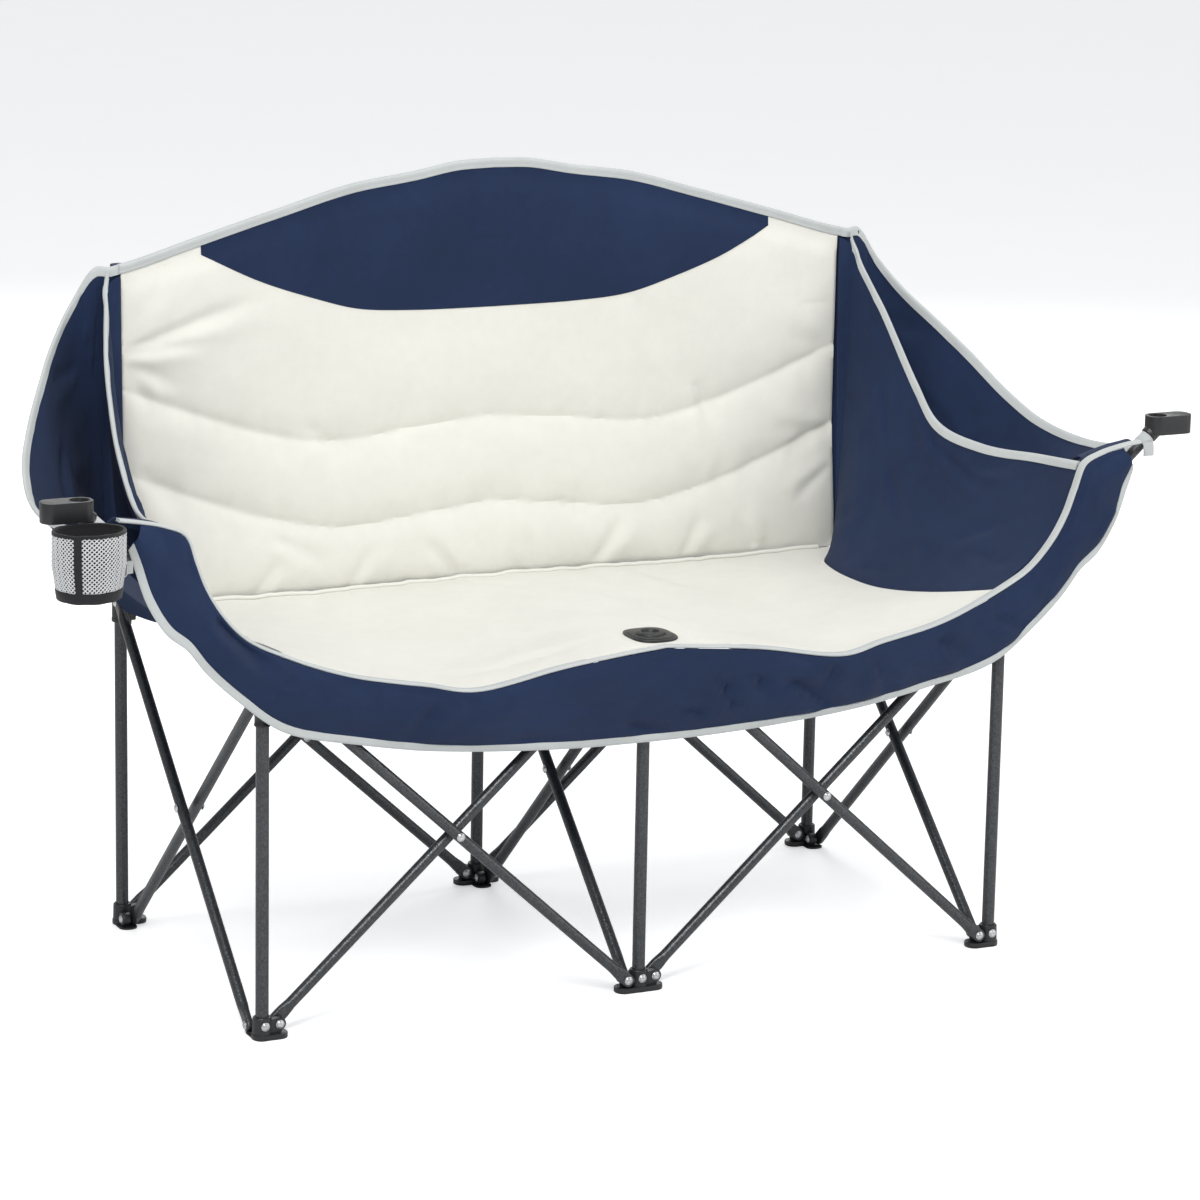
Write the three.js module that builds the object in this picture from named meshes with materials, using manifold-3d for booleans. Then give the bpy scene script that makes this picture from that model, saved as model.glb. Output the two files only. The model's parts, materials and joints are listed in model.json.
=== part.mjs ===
// A folding two-seat camping chair with a padded bucket seat.
//
// Six uprights stand in two rows of three. Fourteen crossed tubes link them: a pair in each bay of
// the front and the rear row, and a pair along each of the three sides. The front tubes that start
// at the middle foot run on past the outer hubs and carry the arms. The fabric is an outer shell
// with a padded insert, hung from the rear uprights, the arm ends and the middle front hub.
//
// Lengths are in millimetres, with +X across the chair, +Y to the back and +Z up. Left and right
// are as seen from the front, and right is +X. The frame is laid out from the axis of the middle
// front upright, and the last step centres its footprint.

import * as THREE from 'three';
import { mergeVertices } from 'three/addons/utils/BufferGeometryUtils.js';
import Module from 'manifold-3d';

const wasm = await Module();
wasm.setup();

// Driving dimensions of the open frame

const bayWidth = 500;
const depth = 500;
const pivotInset = 20;
const footPivotHeight = 18;
const hubPivotHeight = 438;
const sidePivotDrop = 6;
const layerOffset = 9.5;
const foldAngle = THREE.MathUtils.degToRad(37.5);
const clearance = 0.3;
const seam = 0.9;
const armReach = 335;

const upright = { radius: 8, bore: 6.6, rearHeight: 860, middleHeight: 968, foot: 3.5 };
const crossTube = {
  radius: 7, wall: 1.2, flatWidth: 8.2, flatThickness: 4.5,
  flatLength: 12, blend: 18, tip: 7.6, shoulder: 5.6,
};
const pin = { radius: 2.5, headRadius: 4.4, headHeight: 1.6, hole: 2.9 };
const foot = { height: 28, radius: 12, base: 7, sidePlate: 2.4, floor: 3, sideReach: 32, corner: 12.4, halfDepth: 12.8 };
const ear = { radius: 8.2, near: 2, far: 8 };
const collar = { radius: 10, bottom: 387, top: 406, shoulder: 400 };
const hub = { radius: 11.5, bottom: 406.6, outerTop: 434, middleTop: 447, rod: 6, overlap: 30 };
const slider = { radius: 11.5, bore: 8.4, bottom: 402, top: 450 };
const armEnd = {
  plate: 24, drop: 9.9, rise: 14.1, inward: 15.4, outward: 46.6,
  socketRadius: 11, socketLength: 17.5, hole: 12, holeDepth: 8, rim: 3.5, edge: 2,
};
const seatCap = { halfWidth: 28, halfDepth: 35, thickness: 4, boss: 14, bossHeight: 3, recess: 8, offset: 13 };

// Driving dimensions of the fabric

const backHeight = 978;
const sheet = 2.4;
const binding = { width: 12, thickness: 6 };
const pad = { middle: 14, back: 10, side: 8, edge: 4, hub: 4.5 };
const fabricEdge = { behindSeat: 50, cream: 7, shell: 22 };
const backPlane = { lean: 16, behindSeat: 4, foldHeight: 200, belowHub: 8, gap: 1.5 };
const headrest = { thickness: 2.4, inset: 100 };
const quilt = { depth: 5 };
const armCloth = { front: 24, back: 24 };
const sideBulge = 26;
const wingBulge = 14;
const apronBulge = 8;
const cup = {
  halfWidth: 42, halfDepth: 34, height: 78, wall: 2, band: 11,
  belowTip: 12, outward: 4.6, forward: 56,
};
const strap = { width: 15, thickness: 2, tail: 8, levelShare: 0.3 };
const pocket = { height: 104, wall: 2, roof: 2 };

// Values that follow from the driving dimensions

const spanAcross = bayWidth - 2 * pivotInset;
const spanUp = hubPivotHeight - footPivotHeight;
const pivotSpan = Math.hypot(spanAcross, spanUp);
const restAngle = Math.atan2(spanUp, spanAcross);
const foldRise = pivotSpan * (Math.sin(restAngle + foldAngle) - Math.sin(restAngle));
const sideSpan = Math.hypot(depth - 2 * pivotInset, spanUp);
const sideAngle = Math.atan2(spanUp, depth - 2 * pivotInset);
const armTip = bayWidth - pivotInset + armReach * Math.cos(restAngle);
const armOverhang = armTip - bayWidth;
const armTipHeight = hubPivotHeight + armReach * Math.sin(restAngle);
const armLevel = armTipHeight + armEnd.rise;
const armLevelShare = 0.435;
const seatBack = depth - fabricEdge.behindSeat;
const backBase = hubPivotHeight - backPlane.belowHub;
const shellCorner = bayWidth + fabricEdge.shell;
const creamEdge = bayWidth + fabricEdge.cream;
const cupPlace = {
  x: armTip + cup.outward,
  bottom: armTipHeight - cup.belowTip - cup.height,
  top: armTipHeight - cup.belowTip,
};
const frontClear = layerOffset + crossTube.radius + pin.headHeight + 2 * clearance;

const segments = { pin: 8, upright: 12, socket: 12, oval: 16 };

// Vectors and tables

function vec(x, y, z) {
  return new THREE.Vector3(x, y, z);
}

function mix(a, b, share) {
  return a + (b - a) * share;
}

function smooth(share) {
  const t = THREE.MathUtils.clamp(share, 0, 1);
  return t * t * (3 - 2 * t);
}

// Reads a table of [place, value] pairs at any place between its ends.
function tableAt(table, place) {
  if (place <= table[0][0]) {
    return table[0][1];
  }
  for (let i = 1; i < table.length; i += 1) {
    const [from, start] = table[i - 1];
    const [to, end] = table[i];
    if (place <= to) {
      return mix(start, end, (place - from) / (to - from));
    }
  }
  return table[table.length - 1][1];
}

// A share across runs from 0 on the middle line to 1 at the outer upright and 2 at the arm's tip.
function acrossAt(share) {
  return share <= 1 ? share * bayWidth : bayWidth + (share - 1) * armOverhang;
}

// A share up runs from 0 on top of the middle hub over the arms to 1 at the top of the backrest.
function upAt(share) {
  if (share <= armLevelShare) {
    return mix(hub.middleTop, armLevel, share / armLevelShare);
  }
  return mix(armLevel, backHeight, (share - armLevelShare) / (1 - armLevelShare));
}

function spot([across, along, up]) {
  return vec(acrossAt(across), along * depth, upAt(up));
}

// Closed solids from points

function solid(points, faces) {
  const positions = new Float32Array(points.flatMap((p) => [p.x, p.y, p.z]));
  let volume = 0;
  for (let i = 0; i < faces.length; i += 3) {
    const [a, b, c] = [points[faces[i]], points[faces[i + 1]], points[faces[i + 2]]];
    volume += a.dot(vec(0, 0, 0).crossVectors(b, c));
  }
  const index = volume < 0 ? faces.slice().reverse() : faces;
  const geometry = new THREE.BufferGeometry();
  geometry.setAttribute('position', new THREE.BufferAttribute(positions, 3));
  geometry.setIndex(index);
  return geometry;
}

// Joins two grids of the same shape, the front and the back of a sheet, round their rim.
function sheetSolid(front, back) {
  const rows = front.length;
  const columns = front[0].length;
  const at = (side, row, column) => side * rows * columns + row * columns + column;
  const faces = [];
  const quad = (a, b, c, d) => faces.push(a, b, c, a, c, d);
  for (let r = 0; r < rows - 1; r += 1) {
    for (let c = 0; c < columns - 1; c += 1) {
      quad(at(0, r, c), at(0, r, c + 1), at(0, r + 1, c + 1), at(0, r + 1, c));
      quad(at(1, r, c), at(1, r + 1, c), at(1, r + 1, c + 1), at(1, r, c + 1));
    }
  }
  const rim = [];
  for (let c = 0; c < columns - 1; c += 1) rim.push([0, c]);
  for (let r = 0; r < rows - 1; r += 1) rim.push([r, columns - 1]);
  for (let c = columns - 1; c > 0; c -= 1) rim.push([rows - 1, c]);
  for (let r = rows - 1; r > 0; r -= 1) rim.push([r, 0]);
  rim.forEach(([r, c], i) => {
    const [nextRow, nextColumn] = rim[(i + 1) % rim.length];
    quad(at(0, nextRow, nextColumn), at(0, r, c), at(1, r, c), at(1, nextRow, nextColumn));
  });
  return solid([...front.flat(), ...back.flat()], faces);
}

// Skins a list of rings that closes on itself, such as a tube's outside and then its inside.
function ringSolid(rings) {
  const count = rings[0].length;
  const faces = [];
  for (let r = 0; r < rings.length; r += 1) {
    const next = (r + 1) % rings.length;
    for (let c = 0; c < count; c += 1) {
      const side = (c + 1) % count;
      const [a, b] = [r * count + c, r * count + side];
      const [d, e] = [next * count + c, next * count + side];
      faces.push(a, b, e, a, e, d);
    }
  }
  return solid(rings.flat(), faces);
}

function lathe(profile, count) {
  const points = profile.map(([radius, height]) => new THREE.Vector2(radius, height));
  const geometry = new THREE.LatheGeometry(points, count);
  geometry.rotateX(Math.PI / 2);
  return oriented(geometry);
}

// Merges shared corners and turns a shape's faces outwards.
function oriented(geometry) {
  const bare = geometry.clone();
  bare.deleteAttribute('normal');
  bare.deleteAttribute('uv');
  const merged = mergeVertices(bare);
  const place = merged.attributes.position;
  const points = Array.from({ length: place.count }, (unused, i) => vec(0, 0, 0).fromBufferAttribute(place, i));
  const faces = Array.from(merged.index.array);
  const kept = [];
  for (let i = 0; i < faces.length; i += 3) {
    const [a, b, c] = [faces[i], faces[i + 1], faces[i + 2]];
    if (a !== b && b !== c && a !== c) {
      kept.push(a, b, c);
    }
  }
  return solid(points, kept);
}

// Cuts and joins

function toSolid(geometry) {
  const shape = oriented(geometry);
  return new wasm.Manifold(new wasm.Mesh({
    numProp: 3,
    vertProperties: new Float32Array(shape.attributes.position.array),
    triVerts: new Uint32Array(shape.index.array),
  }));
}

function fromSolid(shape) {
  const mesh = shape.getMesh();
  const geometry = new THREE.BufferGeometry();
  geometry.setAttribute('position', new THREE.BufferAttribute(new Float32Array(mesh.vertProperties), 3));
  geometry.setIndex(Array.from(mesh.triVerts));
  return geometry;
}

function joined(shapes) {
  return fromSolid(shapes.map(toSolid).reduce((whole, next) => whole.add(next)));
}

function cut(shape, tools) {
  return fromSolid(tools.map(toSolid).reduce((whole, next) => whole.subtract(next), toSolid(shape)));
}

// Placing

const axisX = vec(1, 0, 0);
const axisY = vec(0, 1, 0);
const axisZ = vec(0, 0, 1);

function inBasis(geometry, across, up, out, origin = vec(0, 0, 0)) {
  const matrix = new THREE.Matrix4().makeBasis(across, up, out).setPosition(origin);
  return oriented(geometry.clone().applyMatrix4(matrix));
}

function moved(geometry, x, y, z) {
  return geometry.clone().translate(x, y, z);
}

// A round bar along +Z from one height to another.
function bar(radius, bottom, top, count) {
  return lathe([[0, bottom], [radius, bottom], [radius, top], [0, top]], count);
}

function hollowBar(radius, bore, bottom, top, count) {
  return lathe([[bore, bottom], [radius, bottom], [radius, top], [bore, top], [bore, bottom]], count);
}

function extruded(shape, from, to, curveSegments = 6) {
  const geometry = new THREE.ExtrudeGeometry(shape, { depth: to - from, bevelEnabled: false, curveSegments });
  return oriented(geometry.translate(0, 0, from));
}

// Rivets

// A riveted pin along +Z: a head at each end and a stout neck that keeps the tube off the ear.
function rivet(headFace, neckFace, neckEnd, farFace) {
  const set = crossTube.wall / 2;
  const head = lathe([
    [0, headFace - pin.headHeight],
    [pin.headRadius, headFace - set],
    [pin.headRadius, headFace + set],
    [0, headFace + set],
  ], segments.pin);
  const neck = lathe([
    [0, neckFace - set],
    [pin.headRadius, neckFace - set],
    [pin.headRadius, neckEnd],
    [pin.radius, neckEnd],
    [pin.radius, farFace],
    [pin.headRadius, farFace],
    [0, farFace + pin.headHeight],
  ], segments.pin);
  return [head, neck];
}

// Crossed tubes
//
// Each tube lies along its own +X from its lower pivot, with its layer's outward side towards its
// own -Z. Its ends are pressed flat and rounded, and the wall stays open at both mouths.

// Shares of the half width and of the half thickness, from the middle of one face round to the edge.
const roundShares = [[0.309, 0.951], [0.809, 0.588], [1, 0]];
const pressedShares = [[0.62, 1], [0.93, 0.75], [1, 0]];

function section(along, halfWidth, halfThickness, shares) {
  const [top, shoulder, side] = shares;
  const quarter = [top, shoulder, side];
  const below = [shoulder, top].map(([w, t]) => [w, -t]);
  const right = [...quarter, ...below];
  const left = right.filter(([w]) => w > 0).reverse().map(([w, t]) => [-w, t]);
  return [...right, ...left].map(([w, t]) => vec(along, w * halfWidth, t * halfThickness));
}

function tubeEnd(pivot, direction, inset, inner) {
  const { radius, flatWidth, flatThickness, flatLength, blend, tip, shoulder } = crossTube;
  const tipShare = 0.5;
  const shoulderShare = 0.88;
  const at = (distance) => pivot + direction * distance;
  const round = section(at(flatLength + blend), radius - inset, radius - inset, roundShares);
  const pressed = (distance, share, squeeze) => {
    return section(at(distance), flatWidth * share - inset, flatThickness - squeeze, pressedShares);
  };
  if (inner) {
    return [pressed(-tip, tipShare, 2 * inset), round];
  }
  return [pressed(-tip, tipShare, 0), pressed(-shoulder, shoulderShare, 0), pressed(flatLength, 1, 0), round];
}

// The plain open end of a tube that runs on past its upper pivot.
function plainEnd(along, inset) {
  const size = crossTube.radius - inset;
  return [section(along, size, size, roundShares)];
}

function tubeBody(span, reach) {
  const lower = (inset, inner) => tubeEnd(0, 1, inset, inner);
  const upper = (inset, inner) => {
    return reach > 0 ? plainEnd(span + reach, inset) : tubeEnd(span, -1, inset, inner).reverse();
  };
  const outside = [...lower(0, false), ...upper(0, false)];
  const inside = [...lower(crossTube.wall, true), ...upper(crossTube.wall, true)];
  return ringSolid([...outside, ...inside.reverse()]);
}

// The pin at a flattened end passes through the ear behind the tube.
function endPin(along) {
  const neckEnd = layerOffset - ear.near - clearance;
  const { flatThickness } = crossTube;
  const parts = rivet(-flatThickness, flatThickness, neckEnd, layerOffset + ear.far + clearance);
  return parts.map((shape) => moved(shape, along, 0, 0));
}

// The pin where an arm tube, still round, passes the outer hub.
function hubPin(along) {
  const neckEnd = layerOffset - ear.near - clearance;
  const { radius } = crossTube;
  const parts = rivet(-radius, radius, neckEnd, layerOffset + ear.far + clearance);
  return parts.map((shape) => moved(shape, along, 0, 0));
}

// The pin where two tubes cross belongs to the front one.
function crossingPin(along) {
  const gap = 2 * layerOffset - crossTube.radius;
  const { radius } = crossTube;
  const parts = rivet(-radius, radius, gap - clearance, 2 * layerOffset + radius + clearance);
  return parts.map((shape) => moved(shape, along, 0, 0));
}

function crossedTube({ span, reach, holdsCrossing }) {
  const body = tubeBody(span, reach);
  const pins = [...endPin(0), ...(reach > 0 ? hubPin(span) : endPin(span))];
  if (holdsCrossing) {
    return joined([body, ...pins, ...crossingPin(span / 2)]);
  }
  const outer = crossTube.radius + pin.headHeight;
  const hole = moved(bar(pin.hole, -outer, outer, segments.pin), span / 2, 0, 0);
  return joined([cut(body, [hole]), ...pins]);
}

// Turns a tube made along +X into its place: from its lower pivot, along its direction, with the
// side that faces the ears towards the given axis.
function placeTube(geometry, lowerPivot, direction, towardsEar) {
  const up = vec(0, 0, 0).crossVectors(towardsEar, direction);
  return inBasis(geometry, direction, up, towardsEar, lowerPivot);
}

// Ears
//
// An ear reaches from the upright's axis out to a pivot. It lies beside the tube's layer: near is
// its face towards the tube, and far the other one.

function earShape(out, pivotHeight, rootBottom, rootTop) {
  const shape = new THREE.Shape();
  shape.moveTo(0, rootBottom);
  shape.lineTo(out, Math.min(rootBottom, pivotHeight - ear.radius));
  shape.absarc(out, pivotHeight, ear.radius, -Math.PI / 2, Math.PI / 2, false);
  shape.lineTo(0, rootTop);
  shape.closePath();
  return shape;
}

// side is +1 where the tube lies on the far side of the axis named by across, so the ear is before it.
function earSolid(outDirection, across, side, pivotHeight, rootBottom, rootTop) {
  const shape = earShape(pivotInset, pivotHeight, rootBottom, rootTop);
  const block = extruded(shape, -ear.far, ear.near, 3);
  return inBasis(block, outDirection, axisZ, across.clone().multiplyScalar(side));
}

function pinHole(outDirection, across, pivotHeight) {
  const reach = ear.far + clearance;
  const hole = bar(pin.hole, -reach, reach, segments.pin);
  const up = vec(0, 0, 0).crossVectors(across, outDirection);
  const place = outDirection.clone().multiplyScalar(pivotInset).add(vec(0, 0, pivotHeight));
  return inBasis(hole, outDirection, up, across, place);
}

// Which ears a fitting has. Each entry gives the way out from the upright, the axis across the
// layers and the side on which the tube lies.
function rowEar(out, side) {
  return { out: vec(out, 0, 0), across: axisY, side, drop: 0 };
}

function sideEar(out, side) {
  return { out: vec(0, out, 0), across: axisX, side, drop: sidePivotDrop };
}

// Feet

function roundedBlock(left, right, front, back, corner) {
  const shape = new THREE.Shape();
  shape.moveTo(left + corner, front);
  shape.lineTo(right - corner, front);
  shape.absarc(right - corner, front + corner, corner, -Math.PI / 2, 0, false);
  shape.lineTo(right, back - corner);
  shape.absarc(right - corner, back - corner, corner, 0, Math.PI / 2, false);
  shape.lineTo(left + corner, back);
  shape.absarc(left + corner, back - corner, corner, Math.PI / 2, Math.PI, false);
  shape.lineTo(left, front + corner);
  shape.absarc(left + corner, front + corner, corner, Math.PI, 1.5 * Math.PI, false);
  return shape;
}

function footSolid(ears) {
  const half = foot.halfDepth;
  const reach = (x, y) => ears.some((e) => e.out.x === x && e.out.y === y) ? foot.sideReach : half;
  const rows = roundedBlock(-reach(-1, 0), reach(1, 0), -half, half, foot.corner);
  const sides = roundedBlock(-half, half, -reach(0, -1), reach(0, 1), foot.corner);
  const { radius, height, base } = foot;
  const taper = radius - clearance;
  const socket = lathe([[0, 0], [radius, 0], [radius, height - base], [taper, height], [0, height]], segments.socket);
  const plates = [extruded(rows, 0, base, 2), extruded(sides, 0, foot.sidePlate, 2), socket];
  const blocks = ears.map(({ out, across, side, drop }) => {
    return earSolid(out, across, side, footPivotHeight - drop, 0, footPivotHeight - drop + ear.radius / 2);
  });
  const holes = ears.map(({ out, across, drop }) => pinHole(out, across, footPivotHeight - drop));
  const bore = bar(upright.radius + clearance, foot.floor, foot.height + foot.base, segments.upright);
  const whole = cut(joined([...plates, ...blocks]), [...holes, bore]);
  return joined([whole, fixingRivet(ears)]);
}

// The rivet that holds the upright shows on the outward face of the socket.
function fixingRivet(ears) {
  const facing = ears.some((e) => e.out.y === -1) ? 1 : -1;
  const face = foot.radius - clearance;
  const head = lathe([
    [0, 0], [pin.headRadius, 0], [pin.headRadius, pin.headHeight], [0, 2 * pin.headHeight],
  ], segments.pin);
  const out = vec(0, facing, 0);
  const up = vec(0, 0, 0).crossVectors(out, axisX);
  return inBasis(head, axisX, up, out, vec(0, facing * (face - pin.headHeight), footPivotHeight));
}

// Front hubs ride on a rod that slides down inside the short front upright.

function hubSolid(ears, top) {
  const rodBottom = collar.shoulder - hub.overlap - foldRise;
  const rodTop = hub.bottom + hub.rod;
  const chamfer = 2 * clearance;
  const body = lathe([
    [0, rodBottom], [hub.rod, rodBottom], [hub.rod, hub.bottom], [hub.radius - chamfer, hub.bottom],
    [hub.radius, rodTop], [hub.radius, top - chamfer], [hub.radius - chamfer, top], [0, top],
  ], segments.upright);
  const blocks = ears.map(({ out, across, side, drop }) => {
    const pivot = hubPivotHeight - drop;
    return earSolid(out, across, side, pivot, hub.bottom, Math.min(pivot, top - chamfer));
  });
  const holes = ears.map(({ out, across, drop }) => pinHole(out, across, hubPivotHeight - drop));
  return cut(joined([body, ...blocks]), holes);
}

function sliderSolid(ears) {
  const { radius, bore, bottom, top } = slider;
  const body = bar(radius, bottom, top, segments.socket);
  const blocks = ears.map(({ out, across, side, drop }) => {
    const pivot = hubPivotHeight - drop;
    return earSolid(out, across, side, pivot, bottom, pivot);
  });
  const holes = ears.map(({ out, across, drop }) => pinHole(out, across, hubPivotHeight - drop));
  const reach = 2 * ear.radius;
  return cut(joined([body, ...blocks]), [...holes, bar(bore, bottom - reach, top + reach, segments.upright)]);
}

// Uprights

function collarSolid() {
  const { radius, bottom, top, shoulder } = collar;
  const wide = upright.radius + clearance;
  const narrow = hub.rod + clearance;
  return lathe([
    [wide, bottom], [radius, bottom], [radius, shoulder], [radius - clearance, top],
    [narrow, top], [narrow, shoulder + clearance], [wide, shoulder + clearance], [wide, bottom],
  ], segments.upright);
}

// Arm ends: a flat oval hand plate on a slanted socket that takes the tube's tip.

function armEndSolid(layer) {
  const { plate, socketRadius, socketLength } = armEnd;
  const [inner, outer] = [armTip - armEnd.inward, armTip + armEnd.outward];
  const [plateBottom, plateTop] = [armTipHeight - armEnd.drop, armLevel];
  const half = plate / 2 + armEnd.rim;
  const outline = roundedBlock(inner, outer, layer - half, layer + half, half - armEnd.edge);
  const top = extruded(outline, plateBottom, plateTop, 5);
  const direction = vec(Math.cos(restAngle), 0, Math.sin(restAngle));
  const up = vec(0, 0, 0).crossVectors(direction, axisY);
  const tip = vec(bayWidth - pivotInset, layer, hubPivotHeight).addScaledVector(direction, armReach);
  const start = tip.clone().addScaledVector(direction, -socketLength);
  const socket = inBasis(bar(socketRadius, 0, socketLength, segments.upright), up, axisY, direction, start);
  const bore = bar(crossTube.radius + clearance, -socketLength, socketLength + clearance, segments.upright);
  const hole = bar(armEnd.hole, plateTop - armEnd.holeDepth, plateTop + armEnd.holeDepth, segments.socket);
  const holePlace = inner + armEnd.hole + armEnd.rim;
  return cut(joined([top, socket]), [
    inBasis(bore, up, axisY, direction, start),
    moved(hole, holePlace, layer, 0),
  ]);
}

// The cap that fixes the fabric to the middle front hub.

function seatCapSolid() {
  const { halfWidth, halfDepth, thickness, boss, bossHeight, recess } = seatCap;
  const waistShare = 0.62;
  const shape = new THREE.Shape();
  shape.moveTo(halfWidth, 0);
  shape.quadraticCurveTo(halfWidth * waistShare, halfDepth * waistShare, 0, halfDepth);
  shape.quadraticCurveTo(-halfWidth * waistShare, halfDepth * waistShare, -halfWidth, 0);
  shape.quadraticCurveTo(-halfWidth * waistShare, -halfDepth * waistShare, 0, -halfDepth);
  shape.quadraticCurveTo(halfWidth * waistShare, -halfDepth * waistShare, halfWidth, 0);
  const plate = extruded(shape, 0, thickness, 4);
  const top = thickness + bossHeight;
  const knob = lathe([[0, 0], [boss, 0], [boss, thickness], [boss - bossHeight, top], [0, top]], segments.socket);
  const dip = bar(recess, thickness, 2 * top, segments.upright);
  return cut(joined([plate, knob]), [dip]);
}

// Fabric outlines
//
// Each is a list of shares for the half with positive X: across, along and up, as read by spot.

const wingTopShares = [
  [1.17, 0.956, 0.782], [1.31, 0.956, 0.702], [1.44, 0.912, 0.627], [1.58, 0.826, 0.552],
  [1.71, 0.736, 0.476], [1.82, 0.642, 0.401], [1.895, 0.51, 0.345], [1.94, 0.32, 0.327],
  [1.92, 0.06, 0.352],
];
const wingBaseShares = [
  [1.11, 0.948, 0.01], [1.1, 0.924, -0.002], [1.05, 0.892, -0.032], [0.984, 0.84, -0.047],
  [0.94, 0.76, -0.051], [0.916, 0.66, -0.051], [0.9, 0.52, -0.051], [0.892, 0.32, -0.045],
  [0.944, 0.06, 0.006],
];
const insertTopShares = [
  [1.034, 0.942, 0.758], [1.123, 0.936, 0.748], [1.14, 0.898, 0.702], [1.17, 0.876, 0.646],
  [1.225, 0.818, 0.608], [1.243, 0.764, 0.514], [1.272, 0.68, 0.42], [1.294, 0.58, 0.341],
  [1.374, 0.4, 0.313], [1.451, 0.18, 0.326], [1.455, -0.016, 0.343],
];
const insertBaseShares = [
  [1.034, 0.916, -0.017], [1.03, 0.904, -0.026], [1, 0.892, -0.03], [0.976, 0.864, -0.032],
  [0.94, 0.816, -0.032], [0.91, 0.77, -0.032], [0.888, 0.68, -0.032], [0.872, 0.54, -0.032],
  [0.862, 0.36, -0.03], [0.896, 0.16, -0.002], [0.968, -0.016, 0.055],
];
const frontEdgeShares = [
  [0, -0.12, 0.011], [0.25, -0.12, -0.013], [0.5, -0.112, -0.051], [0.616, -0.1, -0.032],
  [0.8, -0.08, 0], [0.968, -0.056, 0.055], [1.128, -0.048, 0.1], [1.255, -0.048, 0.158],
  [1.349, -0.048, 0.224], [1.4, -0.048, 0.281], [1.455, -0.048, 0.343], [1.56, -0.048, 0.365],
  [1.69, -0.048, 0.378], [1.81, -0.048, 0.386],
];
const rimShares = [
  [0, -0.044, -0.23], [0.22, -0.044, -0.226], [0.46, -0.044, -0.211], [0.6, -0.044, -0.196],
  [0.76, -0.044, -0.169], [0.96, -0.044, -0.122], [1.17, -0.044, -0.041], [1.34, -0.044, 0.028],
  [1.447, -0.044, 0.085], [1.553, -0.044, 0.122], [1.66, -0.044, 0.194], [1.723, -0.044, 0.27],
  [1.76, -0.044, 0.32],
];
const backTopShares = [
  [0, 1], [0.1, 0.996], [0.22, 0.976], [0.39, 0.953], [0.56, 0.91], [0.82, 0.84], [1.01, 0.789], [1.09, 0.782],
];
const upperQuiltShares = [[0, 0.365], [0.2, 0.352], [0.43, 0.328], [0.63, 0.36], [0.79, 0.409], [1.04, 0.499]];
const lowerQuiltShares = [[0, 0.156], [0.2, 0.136], [0.43, 0.119], [0.63, 0.156], [0.79, 0.205], [1.04, 0.298]];
const headrestShares = [[0, 0.64], [0.23, 0.642], [0.38, 0.653], [0.5, 0.684], [0.65, 0.733], [0.82, 0.81]];

// Smooths a list of points into more of them, keeping its first and last.
function refined(points, steps) {
  const curve = new THREE.CatmullRomCurve3(points, false, 'centripetal');
  const spans = points.length - 1;
  return Array.from({ length: spans * steps + 1 }, (unused, i) => curve.getPoint(i / (spans * steps)));
}

function mirrored(points) {
  return points.map((p) => vec(-p.x, p.y, p.z));
}

function bothHalves(points) {
  return [...mirrored(points.slice(1)).reverse(), ...points];
}

// The point a given distance in from an edge, towards a line that faces it.
function inward(edge, facing, distance) {
  return edge.clone().addScaledVector(facing.clone().sub(edge).normalize(), distance);
}

// A tape along an edge, from the edge itself to a line of inner points.
function tape(edge, inner, thickness) {
  const normals = edge.map((point, i) => {
    const before = edge[Math.max(i - 1, 0)];
    const after = edge[Math.min(i + 1, edge.length - 1)];
    const along = after.clone().sub(before);
    return vec(0, 0, 0).crossVectors(along, inner[i].clone().sub(point)).normalize();
  });
  const side = (offset) => edge.map((point, i) => {
    return [point, inner[i]].map((p) => p.clone().addScaledVector(normals[i], offset));
  });
  return sheetSolid(side(thickness / 2), side(-thickness / 2));
}

// A cloth stretched between two lines. bulge pushes its middle along the outward normal, and
// thickness, a function of the two shares, is added on that side.
function stretched({ lower, upper, columns, bulge, thickness, outward }) {
  const rows = lower.map((start, i) => {
    const u = i / (lower.length - 1);
    return Array.from({ length: columns + 1 }, (unused, j) => {
      const v = j / columns;
      const push = bulge(u) * Math.sin(Math.PI * v);
      return start.clone().lerp(upper[i], v).addScaledVector(outward(u, start, upper[i]), push);
    });
  });
  const back = rows.map((row, i) => row.map((point, j) => {
    const u = i / (rows.length - 1);
    const v = j / columns;
    return point.clone().addScaledVector(normalAt(rows, i, j, outward(u, row[0], row[columns])), thickness(u, v));
  }));
  return sheetSolid(rows, back);
}

// The unit normal of a grid at one of its points, on the side that a guide direction points to.
function normalAt(rows, i, j, guide) {
  const last = rows.length - 1;
  const end = rows[0].length - 1;
  const along = rows[Math.min(i + 1, last)][j].clone().sub(rows[Math.max(i - 1, 0)][j]);
  const across = rows[i][Math.min(j + 1, end)].clone().sub(rows[i][Math.max(j - 1, 0)]);
  const normal = vec(0, 0, 0).crossVectors(along, across).normalize();
  return normal.dot(guide) < 0 ? normal.negate() : normal;
}

// Padding is thin at its seams and full between them.
function padded(full) {
  return (u, v) => {
    const rise = (share) => 1 - Math.abs(2 * share - 1) ** 4;
    return mix(pad.edge, full, rise(u) * rise(v));
  };
}

// Outer shell

function mirroredSolid(geometry) {
  return oriented(geometry.clone().scale(-1, 1, 1));
}

// Outwards for the right wing and side pad: away from the seat, square to the cloth's own line.
function sideOutward(u, start, end) {
  const line = end.clone().sub(start).normalize();
  const away = vec(1, 0, 0);
  return away.addScaledVector(line, -away.dot(line)).normalize();
}

function wingLines() {
  const top = wingTopShares.map(spot);
  const base = wingBaseShares.map(spot);
  return { top, base };
}

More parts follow.
